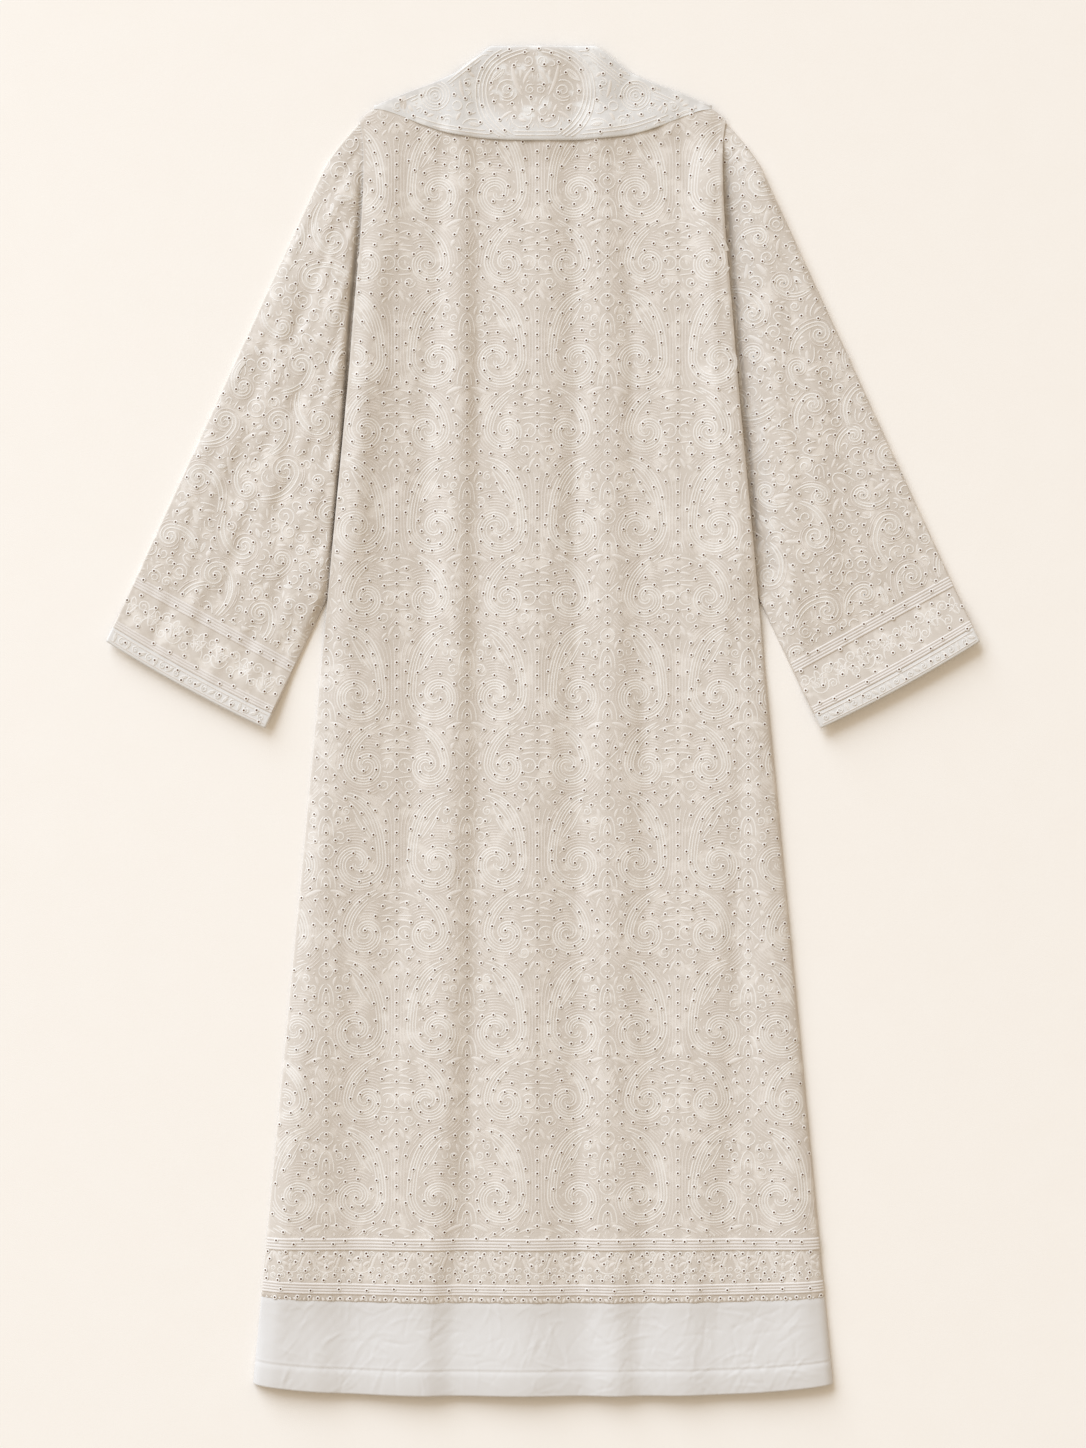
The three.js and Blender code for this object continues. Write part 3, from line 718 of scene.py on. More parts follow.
@dataclass
class Stitching:
    """Threads of one kind that are sewn on one piece of cloth as one raised mesh."""

    cut: Cut
    stitch: Stitch
    threads: list[Thread]
    step: float = 3
    satin_step: float = 2.2
    end_swell: float = 0.45
    sunk: float = 0.1
    least_level: float = 0.5
    most_dip: float = 1.5
    least_height: float = 0.1
    wide_profile: Row = (-1, -0.62, 0, 0.62, 1)
    cord_profile: Row = (-1, 0, 1)

    def sew(self, name: str, cloth: Cloth, keep: Test) -> Piece:
        """Lays the threads on the cloth.

        Args:
            name: Name of the piece.
            cloth: What they are sewn on.
            keep: Says where stitching is wanted.

        Returns:
            The new piece.
        """
        satin = self.stitch is Stitch.SATIN
        step = self.satin_step if satin else self.step
        paths = [even_path(thread.path, step) for thread in self.threads]
        sizes = np.array([len(path) for path in paths])
        owner = np.repeat(np.arange(len(paths)), sizes)
        flat = np.vstack(paths)
        share = np.concatenate([np.linspace(0, 1, size) for size in sizes])
        wide = np.array([thread.width for thread in self.threads])[owner] / 2
        tall = np.array([thread.height for thread in self.threads])[owner]
        if satin:
            swell = np.sqrt(np.clip(4 * share * (1 - share), 0.02, 1))
        else:
            swell = np.where((share == 0) | (share == 1), self.end_swell, 1)
        points, normals, found = cloth.face_at(self.cut.floor(*flat.T))
        level = normals[:, 2]
        dips = wide * np.sqrt(np.clip(1 - level**2, 0, 1)) > self.most_dip
        alive = found & keep(flat[:, 0], flat[:, 1]) & (level > self.least_level) & ~dips
        along = self.directions(flat, owner)
        sideways = np.cross(normals, np.column_stack([along[:, 0], -along[:, 1], 0 * share]))
        sideways /= np.maximum(np.linalg.norm(sideways, axis=1, keepdims=True), 1e-9)
        thin = self.stitch in (Stitch.CORD, Stitch.FINE)
        profile = np.array(self.cord_profile if thin else self.wide_profile)
        crown = np.sqrt(np.clip(1 - profile**2, 0, 1))
        rise = crown[None, :] * (tall * swell**0.5)[:, None] - self.sunk
        ring = (
            points[:, None, :]
            + sideways[:, None, :] * (profile[None, :] * (wide * swell)[:, None] * MM)[..., None]
            + normals[:, None, :] * (rise * MM)[..., None]
        )
        ring[..., 2] = np.maximum(ring[..., 2], self.least_height * MM)
        link = np.flatnonzero(alive[:-1] & alive[1:] & (owner[:-1] == owner[1:]))
        used = np.zeros(len(alive), bool)
        used[link] = used[link + 1] = True
        number = np.cumsum(used) - 1
        count = len(profile)
        first, second = number[link] * count, number[link + 1] * count
        quads = [
            np.stack([first + k, first + k + 1, second + k + 1, second + k], axis=-1)
            for k in range(count - 1)
        ]
        return mesh_object(name, ring[used], np.concatenate(quads)[:, ::-1])

    @staticmethod
    def directions(flat: Array, owner: Array) -> Array:
        """Direction of the path at each point, as unit across and drop."""
        step = np.diff(flat, axis=0)
        same = (owner[1:] == owner[:-1])[:, None]
        ahead = np.vstack([np.where(same, step, 0), [[0, 0]]])
        behind = np.vstack([[[0, 0]], np.where(same, step, 0)])
        along = ahead + behind
        return along / np.maximum(np.linalg.norm(along, axis=1, keepdims=True), 1e-9)


@dataclass(frozen=True)
class Sequins:
    """Small pale cups, each held by a dark bead at its middle."""

    radius: float = 2.25
    sides: int = 10
    rings: tuple[Pair, ...] = ((1, -0.12), (0.84, 0.04), (0.5, 0))
    bead_radius: float = 0.98
    bead_sides: int = 8
    bead_edge: float = 0.04
    bead_height: float = 0.16
    lift: float = 0.5

    @staticmethod
    def copies(name: str, shape: Array, faces: Array, spots: Array, normals: Array) -> Piece:
        """Copies of a shape that stand on the cloth, as one mesh.

        Args:
            name: Name of the piece.
            shape: Points of the shape in millimetres, with Z up from the cloth.
            faces: Vertex numbers of its faces.
            spots: Where each copy stands, in metres.
            normals: The cloth's normal there.

        Returns:
            The new piece.
        """
        east = np.cross([0.0, 1.0, 0.0], normals)
        east /= np.linalg.norm(east, axis=1, keepdims=True)
        axes = np.stack([east, np.cross(normals, east), normals], axis=1)
        points = spots[:, None, :] + np.einsum("vk,nkj->nvj", shape * MM, axes)
        start = np.arange(len(spots))[:, None, None] * len(shape)
        return mesh_object(name, points, (faces[None] + start).reshape(-1, faces.shape[1]))

    def cups(self, name: str, spots: Array, normals: Array) -> Piece:
        """All the cups as one mesh.

        Args:
            name: Name of the piece.
            spots: Where each cup stands, in metres.
            normals: The cloth's normal there.

        Returns:
            The new piece.
        """
        rim = circle(np.arange(self.sides) * 2 * math.pi / self.sides)
        up = np.ones(self.sides)
        rings = [
            np.column_stack([self.radius * out * rim, (height + self.lift) * up])
            for out, height in self.rings
        ]
        faces = grid_faces(len(self.rings), self.sides, closed=True)
        return self.copies(name, np.concatenate(rings), faces, spots, normals)

    def beads(self, name: str, spots: Array, normals: Array) -> Piece:
        """All the beads as one mesh.

        Args:
            name: Name of the piece.
            spots: Where each bead stands, in metres.
            normals: The cloth's normal there.

        Returns:
            The new piece.
        """
        k = np.arange(self.bead_sides)
        rim = self.bead_radius * circle(k * 2 * math.pi / self.bead_sides)
        edge = np.column_stack([rim, np.full(len(k), self.lift + self.bead_edge)])
        shape = np.vstack([edge, [[0.0, 0.0, self.lift + self.bead_height]]])
        faces = np.column_stack([k, (k + 1) % len(k), np.full(len(k), len(k))])
        return self.copies(name, shape, faces, spots, normals)


# ---- Motifs ---------------------------------------------------------------------------------
@dataclass(frozen=True)
class Paisley:
    """Half of a mirrored pair: a tail that swells into a head and curls into its middle."""

    tail: Pair
    head: Pair
    radius: float
    heart: float
    pull: Pair
    turns: float = 1.5
    tightness: float = 1.15
    echoes: int = 8
    echo_gap: float = 2.9
    echo_turn: float = 1.7
    tail_step: Pair = (0.55, -0.45)
    core_widths: Row = (2, 1.7, 1.7, 1.6)

    def line(self, echo: float) -> Array:
        """Centre line of one cord of the motif on its right half.

        Args:
            echo: How far outside the motif's outline it runs, negative inside.

        Returns:
            Points as across and drop.
        """
        whole = echo <= 0
        turning = (self.turns * 2 if whole else self.echo_turn) * math.pi
        angle = np.linspace(0, turning, 44 if whole else 26)
        share = angle / (self.turns * 2 * math.pi)
        radius = self.heart + (self.radius - self.heart) * (1 - share) ** self.tightness + echo
        radius = np.maximum(radius, 0.8)
        head = np.array(self.head)
        curl = head + radius[:, None] * circle(angle)
        tail = np.array(self.tail) + np.array(self.tail_step) * echo
        outward = self.pull[0] - self.head[0] - self.radius
        corner = (curl[0, 0] + outward, self.pull[1] - 0.7 * echo)
        return np.vstack([bezier(tail, corner, curl[0], 18)[:-1], curl])

    def core(self) -> list[Thread]:
        """The outline of the right half, and the cords inside it."""
        gap = self.echo_gap
        band = Thread(self.line(-1.5 * gap), 3 * gap, 0.1, Stitch.BAND)
        cords = [Thread(self.line(-k * gap), wide) for k, wide in enumerate(self.core_widths)]
        return [band, *cords]

    def echo(self, number: int) -> Thread:
        """One of the cords that follow the outline outside it."""
        return Thread(self.line(number * self.echo_gap), 1.6, 0.42, Stitch.FINE)


class Shape(Enum):
    """Small figures that fill the ground."""

    PETAL = "petal"
    RING = "ring"
    SPIRAL = "spiral"
    ARCH = "arch"
    DIAMOND = "diamond"
    BAR = "bar"
    CROSS = "cross"
    LEAF = "leaf"


@dataclass(frozen=True)
class Figure:
    """One small figure: its middle, its size, its turn in degrees, and its width."""

    shape: Shape
    across: float
    drop: float
    size: float
    turn: float = 0
    width: float = 0

    def outline(self) -> list[Array]:
        """Paths of the figure about its own middle, before it is turned."""
        size, half = self.size, self.size / 2
        angle = np.linspace(0, 2 * math.pi, 15)
        if self.shape in (Shape.PETAL, Shape.BAR):
            bow = 0.12 * size if self.shape is Shape.PETAL else 0.0
            return [bezier((-half, 0), (0, -bow), (half, 0), 8)]
        if self.shape is Shape.RING:
            return [half * circle(angle)]
        if self.shape is Shape.SPIRAL:
            angle = np.linspace(0, 3.4 * math.pi, 26)
            radius = half * (1 - 0.25 * angle / math.pi)
            return [radius[:, None] * circle(angle)]
        if self.shape is Shape.DIAMOND:
            return [half * np.array([[0, -1.0], [0.8, 0], [0, 1.0], [-0.8, 0], [0, -1.0]])]
        if self.shape is Shape.CROSS:
            return [
                half * np.array([[-1.0, -1.0], [1.0, 1.0]]),
                half * np.array([[-1.0, 1.0], [1.0, -1.0]]),
            ]
        if self.shape is Shape.LEAF:
            bows = [self.width * bow for bow in (-1.0, -0.45, 0.45, 1.0)]
            return [bezier((-half, 0), (0.15 * size, bow), (half, 0), 14) for bow in bows]
        rise = np.linspace(0, math.pi, 14)
        wide = self.width or half
        return [np.column_stack([-wide * np.cos(rise), half - size * np.sin(rise) ** 0.8])]

    def threads(self) -> list[Thread]:
        """The figure's threads, turned and put in place."""
        satin = self.shape in (Shape.PETAL, Shape.BAR)
        stitch = Stitch.SATIN if satin else Stitch.CORD
        width = (self.width or self.size * 0.36) if satin else 1.7
        height = 0.28 + 0.05 * width if satin else 0.48
        place = (self.across, self.drop)
        paths = [turned(path, self.turn) + place for path in self.outline()]
        return [Thread(path, width, height, stitch) for path in paths]


def threads_of(figures: Iterable[Figure]) -> list[Thread]:
    """Threads of several figures, in their order."""
    return [thread for figure in figures for thread in figure.threads()]


def charted(chart: str) -> tuple[Figure, ...]:
    """Figures of a chart: on each line a shape, across, drop, size, and its turn and width."""
    rows = [line.split() for line in chart.strip().splitlines()]
    return tuple(Figure(Shape(row[0]), *map(float, row[1:])) for row in rows)


class Scatter:
    """Seeded places and small scrolls for ground that has no fixed repeat."""

    def __init__(self, seed: int) -> None:
        """Starts the sequence."""
        self.random = np.random.default_rng(seed)

    def places(self, box: Four, gap: float, taken: Array | None = None) -> Array:
        """Places in a box that keep a least distance from each other.

        Args:
            box: Lowest across and drop, then highest across and drop.
            gap: Least distance between two places.
            taken: Places that are used already, if any.

        Returns:
            The new places, one a row.
        """
        low, high = np.array(box[:2]), np.array(box[2:])
        cell = gap / math.sqrt(2)
        tries = int(3.2 * np.prod(high - low) / gap**2)
        grid: dict[tuple[int, int], Array] = {}
        for place in taken if taken is not None else []:
            grid[tuple(((place - low) // cell).astype(int))] = place
        made = []
        for place in self.random.uniform(low, high, (tries, 2)):
            i, j = ((place - low) // cell).astype(int)
            near = (grid.get((i + a, j + b)) for a in range(-2, 3) for b in range(-2, 3))
            if all(p is None or np.hypot(*(p - place)) >= gap for p in near):
                grid[(i, j)] = place
                made.append(place)
        return np.array(made).reshape(-1, 2)

    def scroll(self, place: Array, size: float) -> list[Thread]:
        """A few random small figures about a place.

        Args:
            place: Its across and drop.
            size: Size of the largest figure.

        Returns:
            The figures' threads.
        """
        turn = float(self.random.uniform(0, 360))
        kind = int(self.random.integers(0, 5))
        x, y = place
        if kind == 1:
            made: list[Thread] = []
            for k in range(3):
                angle = math.radians(turn + 72 * k)
                shift = 0.36 * size * np.array([math.cos(angle), -math.sin(angle)])
                petal = Figure(Shape.PETAL, 0, 0, size * 0.55, turn + 72 * k)
                made += [thread.moved(x + shift[0], y + shift[1]) for thread in petal.threads()]
            return made
        kinds = {
            0: (Figure(Shape.SPIRAL, x, y, size, turn),),
            2: (
                Figure(Shape.ARCH, x, y, size, turn, size * 0.4),
                Figure(Shape.PETAL, x, y, size * 0.6, turn + 90),
            ),
            3: (Figure(Shape.RING, x, y, size * 0.9), Figure(Shape.RING, x, y, size * 0.45)),
            4: (Figure(Shape.PETAL, x, y, size * 0.9, turn, size * 0.3),),
        }
        return threads_of(kinds[kind])


@dataclass(frozen=True)
class Filler:
    """A small figure for bare cloth: how large, how often tried, and the gap round it."""

    shape: Shape
    size: float
    width: float
    gap: float
    tries: int


FILLERS = (
    Filler(Shape.LEAF, 20, 6, 2, 160),
    Filler(Shape.SPIRAL, 12, 0, 2.2, 200),
    Filler(Shape.PETAL, 11, 4, 2.8, 200),
    Filler(Shape.ARCH, 9, 4.6, 2, 500),
    Filler(Shape.LEAF, 11, 3.4, 1.8, 500),
    Filler(Shape.ARCH, 6, 3, 1.8, 700),
    Filler(Shape.BAR, 7, 1.9, 1.8, 900),
    Filler(Shape.PETAL, 5, 2.6, 1.8, 900),
    Filler(Shape.BAR, 4, 1.7, 1.7, 1500),
)


class Ground:
    """Account of the cloth that is stitched already, so that no two threads cross."""

    square = 0.5  # millimetres

    def __init__(self, box: Four, wraps: bool = False) -> None:
        """Starts with bare cloth.

        Args:
            box: Lowest across and drop, then highest across and drop.
            wraps: Whether the pattern repeats down the box.
        """
        self.low, self.size = np.array(box[:2]), np.array(box[2:]) - np.array(box[:2])
        self.count = np.round(self.size / self.square).astype(int)
        self.cell = self.size / self.count
        self.wraps = wraps
        self.taken = np.zeros(self.count, bool)

    def squares(self, points: Array) -> Arrays:
        """Square of each point, and whether it is in the box."""
        at = np.floor((points - self.low) / self.cell).astype(int)
        if self.wraps:
            at[:, 1] %= self.count[1]
        inside = ((at >= 0) & (at < self.count)).all(axis=1)
        return np.clip(at, 0, self.count - 1), inside

    def free(self, points: Array) -> Array:
        """Whether the cloth is bare at each point."""
        at, inside = self.squares(points)
        return inside & ~self.taken[at[:, 0], at[:, 1]]

    def take(self, points: Array, gap: float) -> None:
        """Marks the cloth within a distance of the points as stitched."""
        reach = np.arange(-gap, gap + 0.01, float(self.cell.min()))
        across, down = np.meshgrid(reach, reach)
        near = np.hypot(across, down) <= gap
        around = np.column_stack([across[near], down[near]])
        at, inside = self.squares((points[:, None, :] + around).reshape(-1, 2))
        self.taken[at[inside, 0], at[inside, 1]] = True

    def lay(self, threads: Sequence[Thread], gap: float, shortest: float = 5) -> list[Thread]:
        """Lays threads one after another, leaving out what would cross an earlier one.

        Args:
            threads: The threads in order.
            gap: Least distance between the middles of two threads.
            shortest: Shortest stretch that is kept, in millimetres.

        Returns:
            The stretches that were laid.
        """
        made: list[Thread] = []
        for thread in threads:
            if thread.stitch is Stitch.BAND:
                made.append(thread)
                continue
            path = even_path(thread.path, 1.0)
            free = np.r_[False, self.free(path), False].astype(int)
            starts, ends = np.flatnonzero(np.diff(free) == 1), np.flatnonzero(np.diff(free) == -1)
            for start, end in zip(starts, ends):
                if end - start >= shortest:
                    made.append(replace(thread, path=path[start:end]))
                    self.take(path[start:end], gap)
        return made

    def fill(self, scatter: Scatter, fillers: Sequence[Filler]) -> list[Thread]:
        """Fills bare cloth with small figures, the large ones first."""
        made: list[Thread] = []
        for filler in fillers:
            places = scatter.random.uniform(self.low, self.low + self.size, (filler.tries, 2))
            for place in places[self.free(places)]:
                turn = float(scatter.random.uniform(0, 360))
                size = filler.size * float(scatter.random.uniform(0.8, 1.15))
                figure = Figure(filler.shape, *place, size, turn, filler.width)
                threads = figure.threads()
                path = np.vstack([thread.path for thread in threads])
                if self.free(path).all():
                    made += threads
                    for thread in threads:
                        self.take(even_path(thread.path, 1.0), filler.gap)
        return made


@dataclass(frozen=True)
class Repeat:
    """The embroidery's repeat: short pairs on one axis and long pairs half a repeat aside."""

    wide: float = 146
    tall: float = 174
    gap: float = 2.2
    short: Paisley = Paisley(tail=(21, 0), head=(32, 45), radius=23, heart=3, pull=(53, 14))
    long: Paisley = Paisley(tail=(22, 73), head=(32, 146), radius=30, heart=4, pull=(61, 80))
    short_axis: tuple[Figure, ...] = charted(
        """
        petal 11 6 21 16 2.6
        petal 8.5 13 13 -18 2.6
        petal 8 20 12 15 3.4
        bar 9.5 27 17 3 2.4
        bar 9 32 15 8 3
        ring 9 45 15
        petal 9 45 7 70 3.4
        bar 9 57 16 -6 2.2
        petal 32 45 8 50 4.4
        spiral 13.5 65 13 0
        arch 13.5 62 19 180 9.5
        petal 5 79 13 62 4
        petal 12 84 10 48 3.4
        arch 0 -8 12 0 5
        """
    )
    long_axis: tuple[Figure, ...] = charted(
        """
        petal 13 4 19 22 5.4
        petal 9 13 12 70 3
        petal 14 24 9 60 5
        cross 0 40 24
        diamond 0 40 15
        petal 14 49 9 15 5.5
        petal 8.5 58 9 130 3.4
        ring 0 68 8
        ring 0 84 15
        arch 0 108 22 0 8
        arch 0 111 13 0 4
        spiral 14.5 119 15 40
        ring 0 134 17
        ring 0 134 9
        arch 0 163 24 0 10
        arch 0 166 14 0 5
        leaf 37 103 50 58 9
        petal 32 146 10 30 5
        petal 47 121 9 60 3.4
        """
    )
    trunk: Row = (1.7, 4.8, 7.9, 11)
    trunk_from: float = 88
    trunk_to: float = 174
    trunk_flare: float = 1.1
    seed: int = 3

    def pinstripes(self) -> list[Thread]:
        """Upright cords of the trunk below a short pair, wider apart at its ends."""
        down = np.linspace(self.trunk_from, self.trunk_to, 15)
        share = (down - self.trunk_from) / (self.trunk_to - self.trunk_from)
        flare = 1 + self.trunk_flare * np.abs(2 * share - 1) ** 4
        return [
            Thread(np.column_stack([gap * flare, down]), 1.6, 0.45, Stitch.FINE)
            for gap in self.trunk
        ]

    def half(self) -> list[Thread]:
        """All threads between a short axis and the long axis to the right of it."""
        ground = Ground((0.0, 0.0, self.wide / 2, self.tall), wraps=True)

        def on_long(threads: list[Thread]) -> list[Thread]:
            """Threads mirrored on to the long axis."""
            return [thread.moved(self.wide / 2, 0, flip=True) for thread in threads]

        near, far = threads_of(self.short_axis), on_long(threads_of(self.long_axis))
        made = ground.lay(self.short.core() + on_long(self.long.core()), self.gap)
        made = self.trimmed(made)
        made += ground.lay(near + far, self.gap, 3.0)
        made += ground.lay(self.pinstripes(), self.gap)
        for number in range(1, self.short.echoes + 1):
            echoes = [self.short.echo(number), *on_long([self.long.echo(number)])]
            made += ground.lay(echoes, self.gap, 7.0)
        return made + ground.fill(Scatter(self.seed), FILLERS)

    def trimmed(self, threads: list[Thread]) -> list[Thread]:
        """Threads without what runs past either axis."""
        made = []
        for thread in threads:
            beyond = (thread.path[:, 0] < 0) | (thread.path[:, 0] > self.wide / 2)
            made.append(replace(thread, path=thread.path[~beyond]))
        return made

    def both(self, across: float, drop: float, half: list[Thread]) -> list[Thread]:
        """The half repeat on both sides of a short axis."""
        right = [thread.moved(across, drop) for thread in half]
        return right + [thread.moved(across, drop, flip=True) for thread in half]


# ---- Finishes -------------------------------------------------------------------------------
def linear(red: float, green: float, blue: float) -> Four:
    """A colour as the shader's linear values.

    Args:
        red: Red in the usual steps from 0 to 255.
        green: Green in the same steps.
        blue: Blue in the same steps.

    Returns:
        Red, green, blue and a full alpha.
    """
    steps = [value / 255 for value in (red, green, blue)]
    made = [s / 12.92 if s <= 0.04045 else ((s + 0.055) / 1.055) ** 2.4 for s in steps]
    return (made[0], made[1], made[2], 1.0)


@dataclass(frozen=True)
class ShadeAndGroundPatch:
    """An oval part of a cloth painted darker, partly as painted shade and partly as a warmer ground: its
    middle and its half sizes.
    """

    colour: Three
    across: float
    drop: float
    half_wide: float
    half_tall: float
    start_y: float = 700

    def mapping(self) -> tuple[Three, Three]:
        """Location and scale that bring the oval's rim to a distance of 1."""
        wide, tall = 1 / (self.half_wide * MM), 1 / (self.half_tall * MM)
        middle = (self.across * MM, (self.start_y - self.drop) * MM)
        return (-middle[0] * wide, -middle[1] * tall, 0.0), (wide, tall, 0.0)


@dataclass(frozen=True)
class Finish:
    """A surface finish: mottled colours with soft lighter places, an optional darker oval of painted
    shade, shine, and a fine grain.
    """

    name: str
    light: Three
    dark: Three
    roughness: float
    sheen: float = 0.1
    mottle_scale: float = 22
    grain_scale: float = 900
    grain_depth: float = 0.15
    specular: float = 0.4
    bloom: Three | None = None
    bloom_scale: float = 60
    patch: ShadeAndGroundPatch | None = None

    def material(self) -> bpy.types.Material:
        """Builds the finish as a node material."""
        material = bpy.data.materials.new(self.name)
        material.use_nodes = True
        nodes, links = material.node_tree.nodes, material.node_tree.links
        shader = nodes["Principled BSDF"]
        shader.inputs["Roughness"].default_value = self.roughness
        shader.inputs["Specular IOR Level"].default_value = self.specular
        shader.inputs["Sheen Weight"].default_value = self.sheen
        shader.inputs["Sheen Roughness"].default_value = 0.4
        where = nodes.new("ShaderNodeTexCoord").outputs["Object"]

        def noise(scale: float, detail: float) -> Socket:
            """Soft cloudy values from 0 to 1.

            Args:
                scale: How fine the clouds are.
                detail: How many finer clouds are laid over them.

            Returns:
                The values' socket.
            """
            cloud = nodes.new("ShaderNodeTexNoise")
            cloud.inputs["Scale"].default_value = scale
            cloud.inputs["Detail"].default_value = detail
            cloud.inputs["Roughness"].default_value = 0.6
            links.new(where, cloud.inputs["Vector"])
            return cloud.outputs["Fac"]

        def step(value: Socket, low: float, high: float) -> Socket:
            """Soft step of a value.

            Args:
                value: The value's socket.
                low: Where the step is 0.
                high: Where it is 1.

            Returns:
                The step's socket.
            """
            ramp = nodes.new("ShaderNodeMapRange")
            ramp.interpolation_type = "SMOOTHSTEP"
            ramp.inputs["From Min"].default_value = low
            ramp.inputs["From Max"].default_value = high
            links.new(value, ramp.inputs["Value"])
            return ramp.outputs["Result"]

        def mixed(share: Socket, first: Socket | Three, second: Three) -> Socket:
            """A colour between two colours.

            Args:
                share: Share of the second colour.
                first: The first colour, or its socket.
                second: The second colour.

            Returns:
                The mixed colour's socket.
            """
            tint = nodes.new("ShaderNodeMix")
            tint.data_type = "RGBA"
            if isinstance(first, tuple):
                tint.inputs["A"].default_value = linear(*first)
            else:
                links.new(first, tint.inputs["A"])
            tint.inputs["B"].default_value = linear(*second)
            links.new(share, tint.inputs["Factor"])
            return tint.outputs["Result"]

        colour = mixed(noise(self.mottle_scale, 5.0), self.dark, self.light)
        # Painted shade: the oval darkens the colour towards its middle, standing partly for shade and
        # partly for a warmer ground.
        if self.patch is not None:
            oval, length = nodes.new("ShaderNodeMapping"), nodes.new("ShaderNodeVectorMath")
            oval.inputs["Location"].default_value, oval.inputs["Scale"].default_value = (
                self.patch.mapping()
            )
            length.operation = "LENGTH"
            links.new(where, oval.inputs["Vector"])
            links.new(oval.outputs["Vector"], length.inputs[0])
            inside = step(length.outputs["Value"], 1.15, 0.75)
            colour = mixed(inside, colour, self.patch.colour)
        if self.bloom is not None:
            colour = mixed(step(noise(self.bloom_scale, 2.0), 0.5, 0.66), colour, self.bloom)
        links.new(colour, shader.inputs["Base Color"])
        raised = nodes.new("ShaderNodeBump")
        raised.inputs["Distance"].default_value = self.grain_depth * MM
        links.new(noise(self.grain_scale, 3.0), raised.inputs["Height"])
        links.new(raised.outputs["Normal"], shader.inputs["Normal"])
        return material


@dataclass(frozen=True)
class Finishes:
    """The finishes of the kaftan's own pieces."""

    ground: Finish = Finish(
        "ivory_silk", (219, 210, 200), (207, 197, 186), 0.75, 0.06, bloom=(227, 219, 210)
    )
    sleeve: Finish = Finish(
        "ivory_sleeve_silk", (219, 210, 200), (206, 196, 185), 0.75, 0.06, bloom=(228, 220, 211)
    )
    plain: Finish = Finish("plain_white_silk", (222, 219, 216), (215, 211, 208), 0.65, 0.2, 9, 1100, 0.08)
    wrist: Finish = Finish("wrist_silk", (231, 228, 225), (221, 217, 212), 0.65)
    front: Finish = Finish("front_silk", (219, 209, 198), (209, 198, 187), 0.75)
    collar: Finish = Finish(
        "collar_silk",
        (225, 222, 218),
        (213, 209, 205),
        0.75,
        bloom=(231, 228, 224),
        # Darker warm oval in the collar's middle: painted shade of the hollow where the collar stands off
        # the neck, and the medallion's warmer ground.
        patch=ShadeAndGroundPatch((211, 202, 192), -7, 40, 58, 42),
    )
    tape: Finish = Finish("tape_cord", (229, 222, 215), (216, 208, 201), 0.65, 0.2, 60, 700)
    cord: Finish = Finish("ivory_cord", (239, 234, 228), (228, 221, 213), 0.65, 0.2, 60, 700)
    fine_cord: Finish = Finish("fine_cord", (231, 223, 215), (219, 210, 201), 0.66, 0.2, 60, 700)
    band: Finish = Finish("laid_band", (225, 217, 208), (215, 207, 197), 0.65, 0.2, 60, 700)
    satin: Finish = Finish("satin_thread", (231, 224, 217), (221, 213, 204), 0.62, 0.1, 60, 800)
    sequin: Finish = Finish("pearl_sequin", (246, 242, 237), (239, 234, 228), 0.6, specular=0.2)
    bead: Finish = Finish("smoky_bead", (132, 94, 66), (76, 50, 32), 0.7, 0, 70, specular=0.05)
    floor: Finish = Finish("pale_table", (252, 247, 241), (250, 244, 237), 0.9, 0, specular=0.1)


@dataclass(frozen=True)
class Sheet:
    """How a cloth was cut, in metres, and how it is held."""

    cloth: Cloth
    flat: Pair
    rests_on: tuple[str, ...]
    area: float | None = None
    held: str = "laid"

    def declare(self) -> None:
        """Does nothing; the frame is not told of the sheet."""


class Workroom:
    """Dresses pieces, joins them to the frame and logs them."""

    def __init__(self, finishes: Finishes) -> None:
        """Starts with no materials and no sheets made."""
        self.finishes = finishes
        self.materials: dict[str, bpy.types.Material] = {}
        self.sheets: list[Sheet] = []

    def dress(self, piece: Piece, finish: Finish) -> None:
        """Gives a piece its finish."""
        if finish.name not in self.materials:
            self.materials[finish.name] = finish.material()
        piece.data.materials.append(self.materials[finish.name])

    def add(self, piece: Piece, finish: Finish, slot: str, *nodes: str) -> Piece:
        """Dresses a piece, fastens it to the frame and reports it.

        Args:
            piece: The new piece.
            finish: Its finish.
            slot: The record's slot that the finish stands for; it is not used.
            nodes: The solids that it is shown in place of.

        Returns:
            The same piece.
        """
        self.dress(piece, finish)
        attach(piece, "root")
        if nodes:
            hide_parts(*nodes)
        LOG.info("%s: %d faces", piece.name, len(piece.data.polygons))
        return piece


